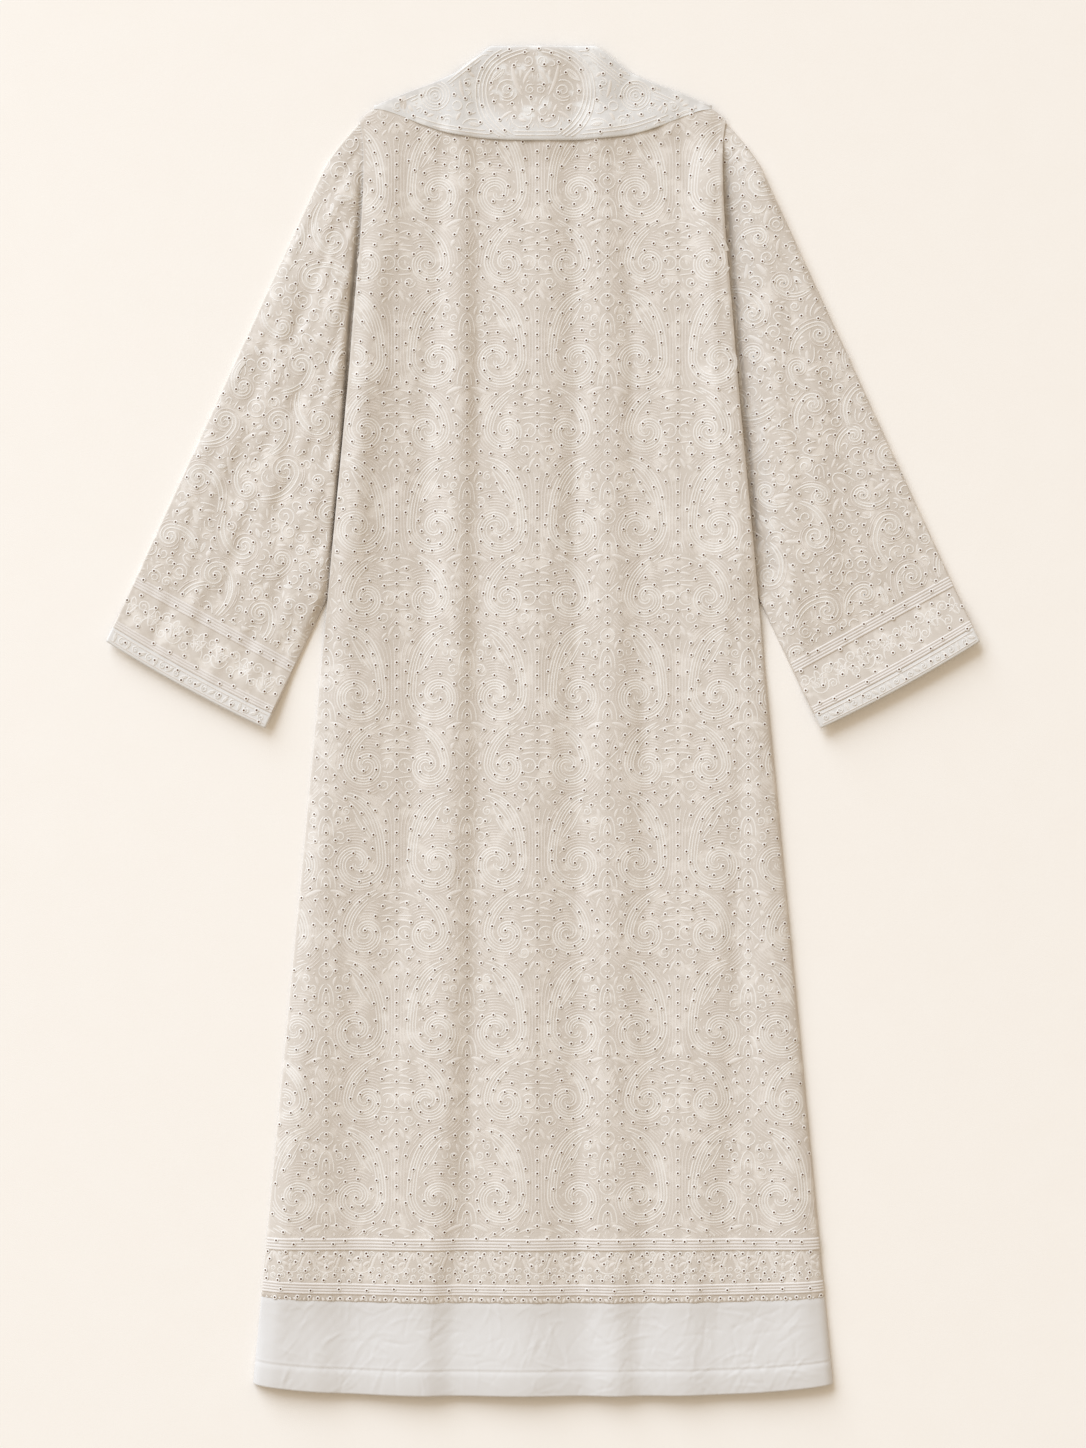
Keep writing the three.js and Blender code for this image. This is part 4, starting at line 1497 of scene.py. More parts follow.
# ---- Columns and rows of the body's sheets --------------------------------------------------
@dataclass(frozen=True)
class BodyGrid:
    """Columns and rows of points that the panels and the hem bands share."""

    cut: Cut
    edge: Row = (0, 0.8, 1.8, 3, 4.6, 6.5, 9, 12, 16, 21, 27)
    columns: int = 94
    row_step: float = 6
    top_rows: int = 36

    def across(self, half: Array) -> Array:
        """Places across a row of each half width given, one more axis at the end."""
        inner = np.linspace(-1, 1, self.columns + 1)[1:-1]
        half = np.asarray(half, float)[..., None]
        edge = np.array(self.edge)
        middle = inner * (half - edge[-1])
        return np.concatenate([-(half - edge), middle, (half - edge[::-1])], axis=-1)

    def level_shares(self) -> Array:
        """Share of the half hem of every column, for the level rows."""
        return self.across(self.cut.hem_half) / self.cut.hem_half

    def panel(self, neck_depth: float, half_of: Callable[[Array], Array]) -> Arrays:
        """Across and drop of a panel, from its neck seam to the edge of the embroidery.

        Args:
            neck_depth: How far the neck seam dips at the centre.
            half_of: Half width of the panel at a drop.

        Returns:
            Across and drop of every grid point.
        """
        cut = self.cut
        top_half = half_of(np.array(cut.shoulder_drop))
        top = cut.top_line(self.across(top_half), neck_depth) + cut.seam_gap
        upper = np.linspace(0, 1, self.top_rows)[:-1, None]
        drops = top + (cut.level_from - top) * upper
        rows = int((cut.border_drop - cut.level_from) / self.row_step) + 1
        level = np.linspace(cut.level_from, cut.border_drop, rows)[:, None]
        rise = cut.border_rise * ease(cut.level_from, cut.border_drop, level)
        drops = np.vstack([drops, level - rise * np.abs(self.level_shares()) ** 4])
        column = np.arange(drops.shape[1])
        across = np.stack([self.across(half_of(drops[:, k]))[:, k] for k in column], axis=1)
        return across, drops

    def band(self, top_tuck: float, rows: Array) -> Arrays:
        """Across and drop of the hem band, at shares of the way down it.

        Args:
            top_tuck: How far its upper edge runs up under the embroidered cloth.
            rows: Shares of the way down the band.

        Returns:
            Across and drop of every grid point.
        """
        cut, shares = self.cut, self.level_shares()
        hem = cut.hem_line(shares * cut.hem_half)
        top = cut.border_drop - cut.border_rise * np.abs(shares) ** 4 - top_tuck
        drops = top + (hem - top) * rows[:, None]
        return self.follow(drops), drops

    def follow(self, drops: Array) -> Array:
        """Across of a grid whose columns follow the body's sides."""
        halves = self.cut.half_width(drops)
        columns = [self.across(halves[:, k])[:, k] for k in range(drops.shape[1])]
        return np.stack(columns, axis=1)


def sheet_of_cloth(name: str, cut: Cut, across: Array, drop: Array, top: Array) -> Cloth:
    """A sheet of cloth over a grid, with its rim turned down.

    Args:
        name: Name of the piece.
        cut: The garment's cut.
        across: Across of each grid point, in millimetres.
        drop: Drop of each grid point.
        top: Height of the upper face there.

    Returns:
        The sheet.
    """
    points = np.stack([across, cut.length / 2 - drop, top], axis=-1)
    points = turned_rim(points, cut.cloth)
    return Cloth(name, (points * MM).reshape(-1, 3), grid_faces(*points.shape[:2]))


def flat_area(across: Array, drop: Array) -> float:
    """Area in square metres of the cut that a grid covers."""
    width = across[:, -1] - across[:, 0]
    height = np.diff(drop.mean(axis=1))
    return float(((width[1:] + width[:-1]) / 2 * height).sum()) * MM**2


# ---- Body -----------------------------------------------------------------------------------
@dataclass
class Body:
    """Front and back panels, and the plain hem bands below them."""

    cut: Cut
    lie: Lie
    grid: BodyGrid
    band_tuck: float = 2.5
    band_step_down: float = 0.55
    stitch_ridge: float = 0.16
    stitch_groove: float = 0.2
    stitch_spread: float = 1.3
    band_wave_height: float = 0.07
    wrinkles: tuple[Pair, ...] = ((34, 0.55), (21, -0.4), (13, 0.9), (52, 0.2))
    band_columns: int = 400
    seed: int = 23
    crinkles: int = 620
    crinkle_height: float = 0.24
    crinkle_width: float = 1.7

    def front_half(self, drop: Array) -> Array:
        """Half the width of the front panel, which ends at the armhole seam."""
        cut = self.cut
        below = ease(cut.armpit_drop, cut.armpit_drop + 20, drop)
        seam = cut.seam_across(drop) - cut.seam_gap
        return seam + (cut.half_width(drop) - seam) * below

    def back(self, room: Workroom) -> Cloth:
        """Makes the embroidered back panel."""
        across, drop = self.grid.panel(self.cut.neck_back_dip, self.cut.half_width)
        inside = self.cut.inside(across, drop)
        waves = self.lie.fine_waves(across, drop) * ease(0, 30, inside)
        top = self.lie.back_top(across, drop) + waves
        back = sheet_of_cloth("back_silk", self.cut, across, drop, top)
        room.add(back.piece, room.finishes.ground, "embroidered_silk", "back_panel")
        size, area = self.panel_size(across), flat_area(across, drop)
        room.sheets.append(Sheet(back, size, ("front_silk",), area))
        return back

    def panel_size(self, across: Array) -> Pair:
        """Width and length of a panel's cut, in metres."""
        long = (self.cut.border_drop - self.cut.neck_base_drop) * MM
        return 2 * float(across.max()) * MM, long

    def front(self, room: Workroom) -> None:
        """Makes the plain front panel, which lies on the table."""
        across, drop = self.grid.panel(self.cut.neck_front_depth, self.front_half)
        across, drop = across[::2, ::2], drop[::2, ::2]
        top = self.lie.front_top(across, drop)
        front = sheet_of_cloth("front_silk", self.cut, across, drop, top)
        room.add(front.piece, room.finishes.front, "front_silk", "front_panel")
        size, area = self.panel_size(across), flat_area(across, drop)
        room.sheets.append(Sheet(front, size, ("table",), area))

    def back_band(self, room: Workroom) -> None:
        """Makes the back's plain band, with its turned-up hem and stitch line."""
        cut = self.cut
        deep = cut.length - cut.border_drop + self.band_tuck
        turn = 1 - cut.hem_turn_up / deep
        near = np.linspace(-7, 7, 15) / deep + turn
        rows = np.r_[np.linspace(0, near[0], 48)[:-1], near, np.linspace(near[-1], 1, 14)[1:]]
        across, drop = replace(self.grid, columns=self.band_columns).band(self.band_tuck, rows)
        from_turn = (rows[:, None] - turn) * deep
        spread = self.stitch_spread
        seam = self.stitch_ridge * np.exp(-(((from_turn + 1.4) / spread) ** 2))
        seam = seam - self.stitch_groove * np.exp(-(((from_turn - 1.2) / spread) ** 2))
        thick = cut.turn_up_cloth * ease(0.5, 7, from_turn)
        tuck = self.band_step_down * (1 - ease(0.3, 9, rows[:, None] * deep))
        edge = ease(0, 25, cut.inside(across, drop))
        top = self.lie.back_top(across, drop) + seam + thick - tuck
        top = top + (self.band_waves(across, drop) + self.band_crinkles(across, drop)) * edge
        band = sheet_of_cloth("back_hem_silk", cut, across, drop, top)
        room.add(band.piece, room.finishes.plain, "plain_silk", "back_hem_band")
        size = (2 * cut.hem_half * MM, deep * MM)
        room.sheets.append(Sheet(band, size, ("front_hem_silk",)))

    def front_band(self, room: Workroom) -> None:
        """Makes the front's plain band."""
        across, drop = self.grid.band(0, np.linspace(0, 1, 12))
        across, drop = across[:, ::2], drop[:, ::2]
        top = self.lie.front_top(across, drop)
        band = sheet_of_cloth("front_hem_silk", self.cut, across, drop, top)
        room.add(band.piece, room.finishes.front, "plain_silk", "front_hem_band")
        deep = (self.cut.length - self.cut.border_drop) * MM
        room.sheets.append(Sheet(band, (2 * self.cut.hem_half * MM, deep), ("table",)))

    def band_waves(self, across: Array, drop: Array) -> Array:
        """Fine slanting wrinkles of the plain silk."""
        total = np.zeros(np.broadcast(across, drop).shape)
        for k, (length, slant) in enumerate(self.wrinkles):
            phase = 2 * math.pi * (across / length + slant * drop / length + 1.7 * k)
            patch = 0.5 + 0.5 * np.sin(across / (61.0 + 17 * k) + drop / 43.0 + 2.3 * k)
            total = total + self.band_wave_height / (1 + 0.5 * k) * patch * np.sin(phase)
        return total

    def band_crinkles(self, across: Array, drop: Array) -> Array:
        """Short sharp creases that lie every way over the plain silk."""
        random = np.random.default_rng(self.seed)
        total = np.zeros(np.broadcast(across, drop).shape)
        low, high = self.cut.border_drop, self.cut.length
        for _ in range(self.crinkles):
            x, y = random.uniform(-self.cut.hem_half, self.cut.hem_half), random.uniform(low, high)
            turn, long = random.uniform(0, math.pi), random.uniform(5, 22)
            along = (across - x) * math.cos(turn) + (drop - y) * math.sin(turn)
            off = (drop - y) * math.cos(turn) - (across - x) * math.sin(turn)
            bend = off - 0.012 * along**2 * random.uniform(-1, 1)
            ridge = np.exp(-((bend / self.crinkle_width) ** 2) - (along / long) ** 4)
            total += self.crinkle_height * random.uniform(-0.9, 1) * ridge
        return total


# ---- Cord tapes -----------------------------------------------------------------------------
@dataclass(frozen=True)
class CordTape:
    """A strip of parallel couched cords, made as one ribbed mesh."""

    name: str
    node: str
    start: float
    width: float
    rise: float = 0
    cords: int = 4
    cord_height: float = 0.6
    base: float = 0.3
    points_per_cord: int = 6
    sunk: float = 0.2

    def profile(self) -> Arrays:
        """Distance across the tape and height of each row of points."""
        count = self.cords * self.points_per_cord
        share = np.linspace(0, 1, count + 1)
        height = self.base + self.cord_height * np.abs(np.sin(math.pi * self.cords * share)) ** 0.8
        height[0] = height[-1] = -self.sunk
        return share * self.width, height

    def lay(
        self, room: Workroom, cloth: Cloth, label: str, flat: Array, height: Array, flip: bool
    ) -> None:
        """Makes the tape on a cloth.

        Args:
            room: Where it is dressed and reported.
            cloth: What it is sewn on.
            label: Added to the names of the piece and its node.
            flat: X and Y in metres of its points, row after row.
            height: Height over the cloth of each row.
            flip: Whether its faces are turned over.
        """
        points, normals, _ = cloth.face_at(flat)
        columns = len(flat) // len(height)
        lift = np.repeat(height, columns)[:, None] * MM
        faces = grid_faces(len(height), columns)
        faces = faces[:, ::-1] if flip else faces
        piece = mesh_object(self.name + label, points + normals * lift, faces)
        room.add(piece, room.finishes.tape, "stitched_tape", self.node + label)
        cloth.sewn_on.append(piece)


@dataclass
class HemTrim:
    """The two cord tapes across the lower edge of the back."""

    cut: Cut
    grid: BodyGrid
    inset: float = 0.8
    tapes: tuple[CordTape, ...] = (
        CordTape("hem_cords_upper", "hem_tape_upper", 1238, 13, 1.5),
        CordTape("hem_cords_lower", "hem_tape_lower", 1286, 12, 5),
    )

    def build(self, room: Workroom, back: Cloth) -> None:
        """Makes both tapes on the back panel."""
        shares = self.grid.level_shares()
        for tape in self.tapes:
            offset, height = tape.profile()
            drop = tape.start - tape.rise * np.abs(shares) ** 4 + offset[:, None]
            across = self.grid.follow(drop) * (1 - self.inset / self.cut.hem_half)
            tape.lay(room, back, "", self.cut.floor(across, drop), height, False)


# ---- Sleeves --------------------------------------------------------------------------------
@dataclass
class Sleeve:
    """One sleeve with its wrist strip and cord tapes."""

    cut: Cut
    lie: Lie
    shape: SleeveCut
    label: str
    side: Side
    ring_step: float = 3.6
    edge: Row = (0, 0.25, 0.8, 1.7, 3, 4.8, 7.2, 10.5, 15)
    columns: int = 128
    round_edges: Pair = (1.3, 2.4)
    puffs: Pair = (1.3, 3)
    mouth_lift: float = 5.6
    mouth_reach: float = 75
    puff_out: Pair = (3, 40)
    mouth: tuple[Pair, ...] = ((0, 0.7), (1, 1.1), (4.5, 1.2))
    tape_shares: Pair = (0.008, 0.992)
    creases_in: Pair = (0, 24)
    creases_up: Pair = (4, 40)
    creases_out: Pair = (-6, 14)
    strip_tucks: Row = (2.6, 0.8)
    strip_insets: Row = (0.4, 0.2)
    taper: float = 0.9
    under_share: float = 0.5
    widening: float = 1.14
    tapes: tuple[CordTape, ...] = (
        CordTape("cuff_cords_upper", "cuff_tape_upper", 63, 12, cord_height=0.5, base=0.2),
        CordTape("cuff_cords_lower", "cuff_tape_lower", 16.6, 8, 0, 3, 0.5, 0.15),
    )
    waves: tuple[Crease, ...] = (
        Crease(0.50, 46, 300, 0.9),
        Crease(0.34, 29, 210, 3.3),
        Crease(0.22, 19, 160, 5.1),
    )

    def width(self) -> float:
        """Width of the sleeve at the cuff."""
        outer, inner = np.array(self.shape.cuff_outer), np.array(self.shape.cuff_inner)
        return float(np.hypot(*(inner - outer)))

    def shares(self) -> Array:
        """Shares of the way from the overarm fold to the underarm fold."""
        edge = np.array(self.edge) / self.width()
        inner = np.linspace(edge[-1], 1 - edge[-1], self.columns)[1:-1]
        return np.concatenate([edge, inner, 1 - edge[::-1]])

    def spot(self, above: Array, t: Array) -> tuple[Array, Array, Array, Array]:
        """Across, drop, and the heights of the lower and the upper face."""
        across, drop = self.shape.place(above, t)
        folds = self.lie.sleeve_folds(across, drop, above, self.side)
        folds = folds * (1 - ease(self.taper, 1, np.abs(2 * t - 1)))
        from_edge = np.minimum(t, 1 - t) * self.width()
        edge = self.round_edges[self.side > 0]
        swell = np.sqrt(1 - (1 - np.clip(from_edge / edge, 0, 1)) ** 2)
        middle = self.lie.sleeve_flat / 2
        low, high = folds * self.under_share, folds
        fine = self.fine(above, t) * ease(*self.creases_in, from_edge) * ease(*self.creases_up, above)
        out = -self.cut.inside(across, drop)
        puff = self.puffs[self.side > 0] * swell * ease(*self.puff_out, out)
        fine = fine * ease(*self.creases_out, out) + puff
        lift = self.mouth_lift * (1 - ease(0, self.mouth_reach, above))
        sink = self.lie.valley_sink(across, drop, self.side) * swell
        low, high = low + lift, high + lift - sink
        return across, drop, low + middle * (1 - swell), high + middle * (1 + swell) + fine

    def fine(self, above: Array, t: Array) -> Array:
        """Fine creases that run down the sleeve."""
        across = t * self.width() + (31.0 if self.side > 0 else 0.0)
        total = np.zeros(np.broadcast(above, t).shape)
        for wave in self.waves:
            bend = 0.7 * np.sin(above / wave.down * 2.0 + wave.start)
            phase = 2 * math.pi * (across / wave.across + bend) + wave.start
            total = total + wave.height * np.sin(phase)
        return total

    def tube(self, name: str, rings: Array, inset: Array | float = 0.0) -> Cloth:
        """A flattened tube of cloth.

        Args:
            name: Name of the piece.
            rings: Distance of each ring above the cuff.
            inset: How far each ring lies inside the tube's outer face.

        Returns:
            The tube.
        """
        shares = self.shares()
        above, t = np.meshgrid(rings, shares, indexing="ij")
        across, drop, low, high = self.spot(above, t)
        inset = np.broadcast_to(inset, len(rings))[:, None]
        inset = np.minimum(inset, 0.4 * (high - low))
        low, high = low + inset, high - inset
        y = self.cut.length / 2 - drop
        over = np.stack([self.side * across, y, high], axis=-1)
        under = np.stack([self.side * across, y, low], axis=-1)[:, -2:0:-1]
        points = np.concatenate([over, under], axis=1)
        faces = grid_faces(*points.shape[:2], closed=True)
        if self.side < 0:
            faces = faces[:, ::-1]
        return Cloth(name, (points * MM).reshape(-1, 3), faces[:, ::-1])

    def build(self, room: Workroom) -> Cloth:
        """Makes the sleeve from the armhole to its wrist strip."""
        top = self.shape.length_of(self.shape.overarm())
        bottom = self.shape.facing + self.cut.seam_gap
        rings = np.linspace(top, bottom, int(top / self.ring_step))
        sleeve = self.tube(f"sleeve_silk_{self.label}", rings)
        node = f"sleeve_{self.label}"
        room.add(sleeve.piece, room.finishes.sleeve, "embroidered_silk", node)
        long = (float(rings[0]) - self.shape.facing) * MM
        size = (2 * self.widening * self.width() * MM, long)
        room.sheets.append(Sheet(sleeve, size, ("table",), self.tube_area(rings)))
        return sleeve

    def tube_area(self, rings: Array) -> float:
        """Flat area in square metres of the cloth all round the sleeve."""
        above, t = np.meshgrid(rings, np.array([0.0, 1.0]), indexing="ij")
        across, drop = self.shape.place(above, t)
        a = np.stack([across[:, 0], drop[:, 0]], axis=-1)
        b = np.stack([across[:, 1], drop[:, 1]], axis=-1)
        corners = np.concatenate([a, b[::-1]])
        after = np.roll(corners, -1, axis=0)
        twice = corners[:, 0] * after[:, 1] - after[:, 0] * corners[:, 1]
        return abs(float(twice.sum())) * MM**2

    def strip(self, room: Workroom) -> Cloth:
        """Makes the plainer strip at the wrist."""
        rings = np.linspace(self.shape.facing - 0.3, 0, 9)
        inner, inset = np.array(self.mouth).T
        tucked = self.shape.facing + np.array(self.strip_tucks)
        strip = self.tube(
            f"wrist_silk_{self.label}",
            np.r_[tucked, rings, inner],
            np.r_[self.strip_insets, 0 * rings, inset],
        )
        room.add(strip.piece, room.finishes.wrist, "plain_silk", f"cuff_facing_{self.label}")
        size = (2 * self.width() * MM, self.shape.facing * MM)
        room.sheets.append(Sheet(strip, size, ("table",)))
        return strip

    def trims(self, room: Workroom, sleeve: Cloth) -> None:
        """Makes the cord tapes round the showing half of the cuff."""
        share = np.linspace(*self.tape_shares, 80)
        for tape in self.tapes:
            offset, height = tape.profile()
            above, t = np.meshgrid(tape.start + offset[::-1], share, indexing="ij")
            across, drop, _, _ = self.spot(above, t)
            flat = self.cut.floor(self.side * across, drop)
            tape.lay(room, sleeve, f"_{self.label}", flat, height, self.side > 0)

    def on_cuff(self, along: Array, above: Array) -> Array:
        """Across and drop of places measured along the cuff from the overarm fold."""
        across, drop = self.shape.place(np.asarray(above, float), along / self.width())
        return np.column_stack([self.side * across, drop])


# ---- Collar ---------------------------------------------------------------------------------
@dataclass
class Collar:
    """The wide collar: a stand at the neck, and a fall over the back and the shoulders."""

    cut: Cut
    lie: Lie
    roll_height: float = 1.3
    roll_turn: float = 6.5
    roll_from: float = 12
    roll_to: float = 60
    edge_thin: float = 0.3
    edge_lift: float = 0.6
    lift_fades: Pair = (95, 168)
    wave_height: float = 0.35
    fold_shares: Row = (0, 0.004, 0.01, 0.018, 0.028, 0.04, 0.055)
    tip_settle: float = 1.35
    tip_reach: float = 1.6
    tip_from: Pair = (112, 150)
    columns: int = 110
    rows: int = 44

    def roll(self, across: Array, drop: Array) -> Array:
        """How far the collar stands off the neck, near its fold."""
        below = drop - self.cut.collar_top(across)
        half = self.cut.neck_base_half
        middle = 1 - ease(half - 15, half + 40, np.abs(across))
        turn = np.sqrt(1 - (1 - np.clip(below / self.roll_turn, 0, 1)) ** 2)
        return self.roll_height * (1 - ease(self.roll_from, self.roll_to, below)) * turn * middle

    def on_panel(self, across: Array, drop: Array) -> Array:
        """Height of the collar's under face where it lies on the back panel."""
        base = self.cut.cloth + self.cut.lay_gap
        back = self.lie.back_top(across, drop) - self.cut.cloth
        return np.maximum(back, base) + self.cut.cloth + self.cut.lay_gap

    def fall(self, room: Workroom) -> Cloth:
        """Makes the fall, from the fold down to its free edge."""
        cut = self.cut
        across = np.linspace(-cut.collar_tip, cut.collar_tip, self.columns)
        bottom = cut.collar_bottom(across)
        tip = ease(*self.tip_from, np.abs(across))
        top = np.minimum(cut.collar_top(across), bottom - 2.5) - self.tip_reach * tip
        share = np.r_[self.fold_shares, np.linspace(0.075, 1, self.rows)][:, None]
        drop = top + (bottom - top) * share
        across = np.broadcast_to(across, drop.shape)
        waves = np.sin(across / 23 + drop / 17) * np.sin(drop / 13 + across / 61)
        waves = self.wave_height * waves
        height = self.on_panel(across, drop) + self.roll(across, drop) + cut.cloth
        height = height + waves * ease(0, 0.3, share) * (1 - ease(0.8, 1, share))
        height = height - self.edge_thin * ease(0.95, 1, share) * (1 - tip)
        middle = 1 - ease(*self.lift_fades, np.abs(across))
        height = height + self.edge_lift * ease(0.45, 1, share) * middle - self.tip_settle * tip
        fall = sheet_of_cloth("collar_fall_silk", cut, across, drop, height)
        room.add(fall.piece, room.finishes.collar, "collar_silk", "collar_fall")
        area = float(((bottom - top) * np.gradient(across[0])).sum()) * MM**2
        wide, deep = 2 * cut.collar_tip * MM, float((bottom - top).max()) * MM
        room.sheets.append(Sheet(fall, (wide, deep), ("back_silk",), area, "folded"))
        return fall

    def stand(self, room: Workroom) -> None:
        """Makes the stand, hidden under the fall."""
        cut = self.cut
        half = cut.neck_base_half - 12
        across = np.linspace(-half, half, 40)
        top = cut.collar_top(across) + 1
        bottom = np.maximum(cut.top_line(across, cut.neck_back_dip) - cut.seam_gap, top + 1.5)
        share = np.linspace(0, 1, 8)[:, None]
        drop = top + (bottom - top) * share
        across = np.broadcast_to(across, drop.shape)
        height = np.full(drop.shape, 2 * cut.cloth + cut.lay_gap)
        stand = sheet_of_cloth("collar_stand_silk", cut, across, drop, height)
        room.add(stand.piece, room.finishes.collar, "collar_silk", "collar_stand")
        area = float(((bottom - top) * np.gradient(across[0])).sum()) * MM**2
        size = (2 * half * MM, float((bottom - top).max()) * MM)
        room.sheets.append(Sheet(stand, size, ("front_silk",), area, "folded"))


# ---- Embroidery -----------------------------------------------------------------------------
@dataclass
class Needlework:
    """Sews threads and sequins on one piece of cloth and adds them to the room."""

    cut: Cut
    room: Workroom
    name: str
    cloth: Cloth
    keep: Test
    sequins: Sequins = Sequins()
    on_tape: Test = lambda across, drop: 0.0 * across
    clearance: float = 1.3
    cord_rise: float = 0.12
    tape_rise: float = 0.62
    relief: float = 1
    satin_relief: float = 0.8

    def sew(self, label: str, threads: list[Thread]) -> None:
        """Sews threads, each kind of stitch as one piece.

        Args:
            label: Added to the name of the pieces.
            threads: The threads, in across and drop.
        """
        finishes = {
            Stitch.BAND: self.room.finishes.band,
            Stitch.FINE: self.room.finishes.fine_cord,
            Stitch.CORD: self.room.finishes.cord,
            Stitch.SATIN: self.room.finishes.satin,
        }
        for stitch, finish in finishes.items():
            relief = self.satin_relief if stitch is Stitch.SATIN else self.relief
            chosen = [
                replace(thread, height=thread.height * relief)
                for thread in threads
                if thread.stitch is stitch
            ]
            if not chosen:
                continue
            stitching = Stitching(self.cut, stitch, chosen)
            name = f"{self.name}_{label}_{stitch.value}"
            piece = stitching.sew(name, self.cloth, self.keep)
            if piece.data.polygons:
                self.cloth.sewn_on.append(self.room.add(piece, finish, "embroidered_silk"))
            else:
                bpy.data.objects.remove(piece)

    def scatter_sequins(self, spots: Array, threads: list[Thread]) -> None:
        """Sews sequins, raised where a cord or a tape runs under one.

        Args:
            spots: Across and drop of each sequin.
            threads: The threads that are sewn on the same cloth.
        """
        spots = spots[self.keep(spots[:, 0], spots[:, 1])]
        points, normals, found = self.cloth.face_at(self.cut.floor(*spots.T))
        places = np.vstack([even_path(thread.path, 3.0) for thread in threads])
        cords = KDTree(len(places))
        for number, (x, y) in enumerate(places.tolist()):
            cords.insert((x, y, 0.0), number)
        cords.balance()
        near = np.array([cords.find((x, y, 0.0))[2] or 9.0 for x, y in spots.tolist()])
        rise = self.cord_rise * (1 - ease(self.clearance, self.clearance + 1.6, near))
        rise = rise + self.tape_rise * self.on_tape(spots[:, 0], spots[:, 1])
        found &= normals[:, 2] > 0.6
        points = (points + normals * rise[:, None] * MM)[found]
        normals = normals[found]
        cups = self.sequins.cups(f"{self.name}_sequins", points, normals)
        beads = self.sequins.beads(f"{self.name}_beads", points, normals)
        finishes = self.room.finishes
        for piece, finish in ((cups, finishes.sequin), (beads, finishes.bead)):
            self.cloth.sewn_on.append(self.room.add(piece, finish, "embroidered_silk"))


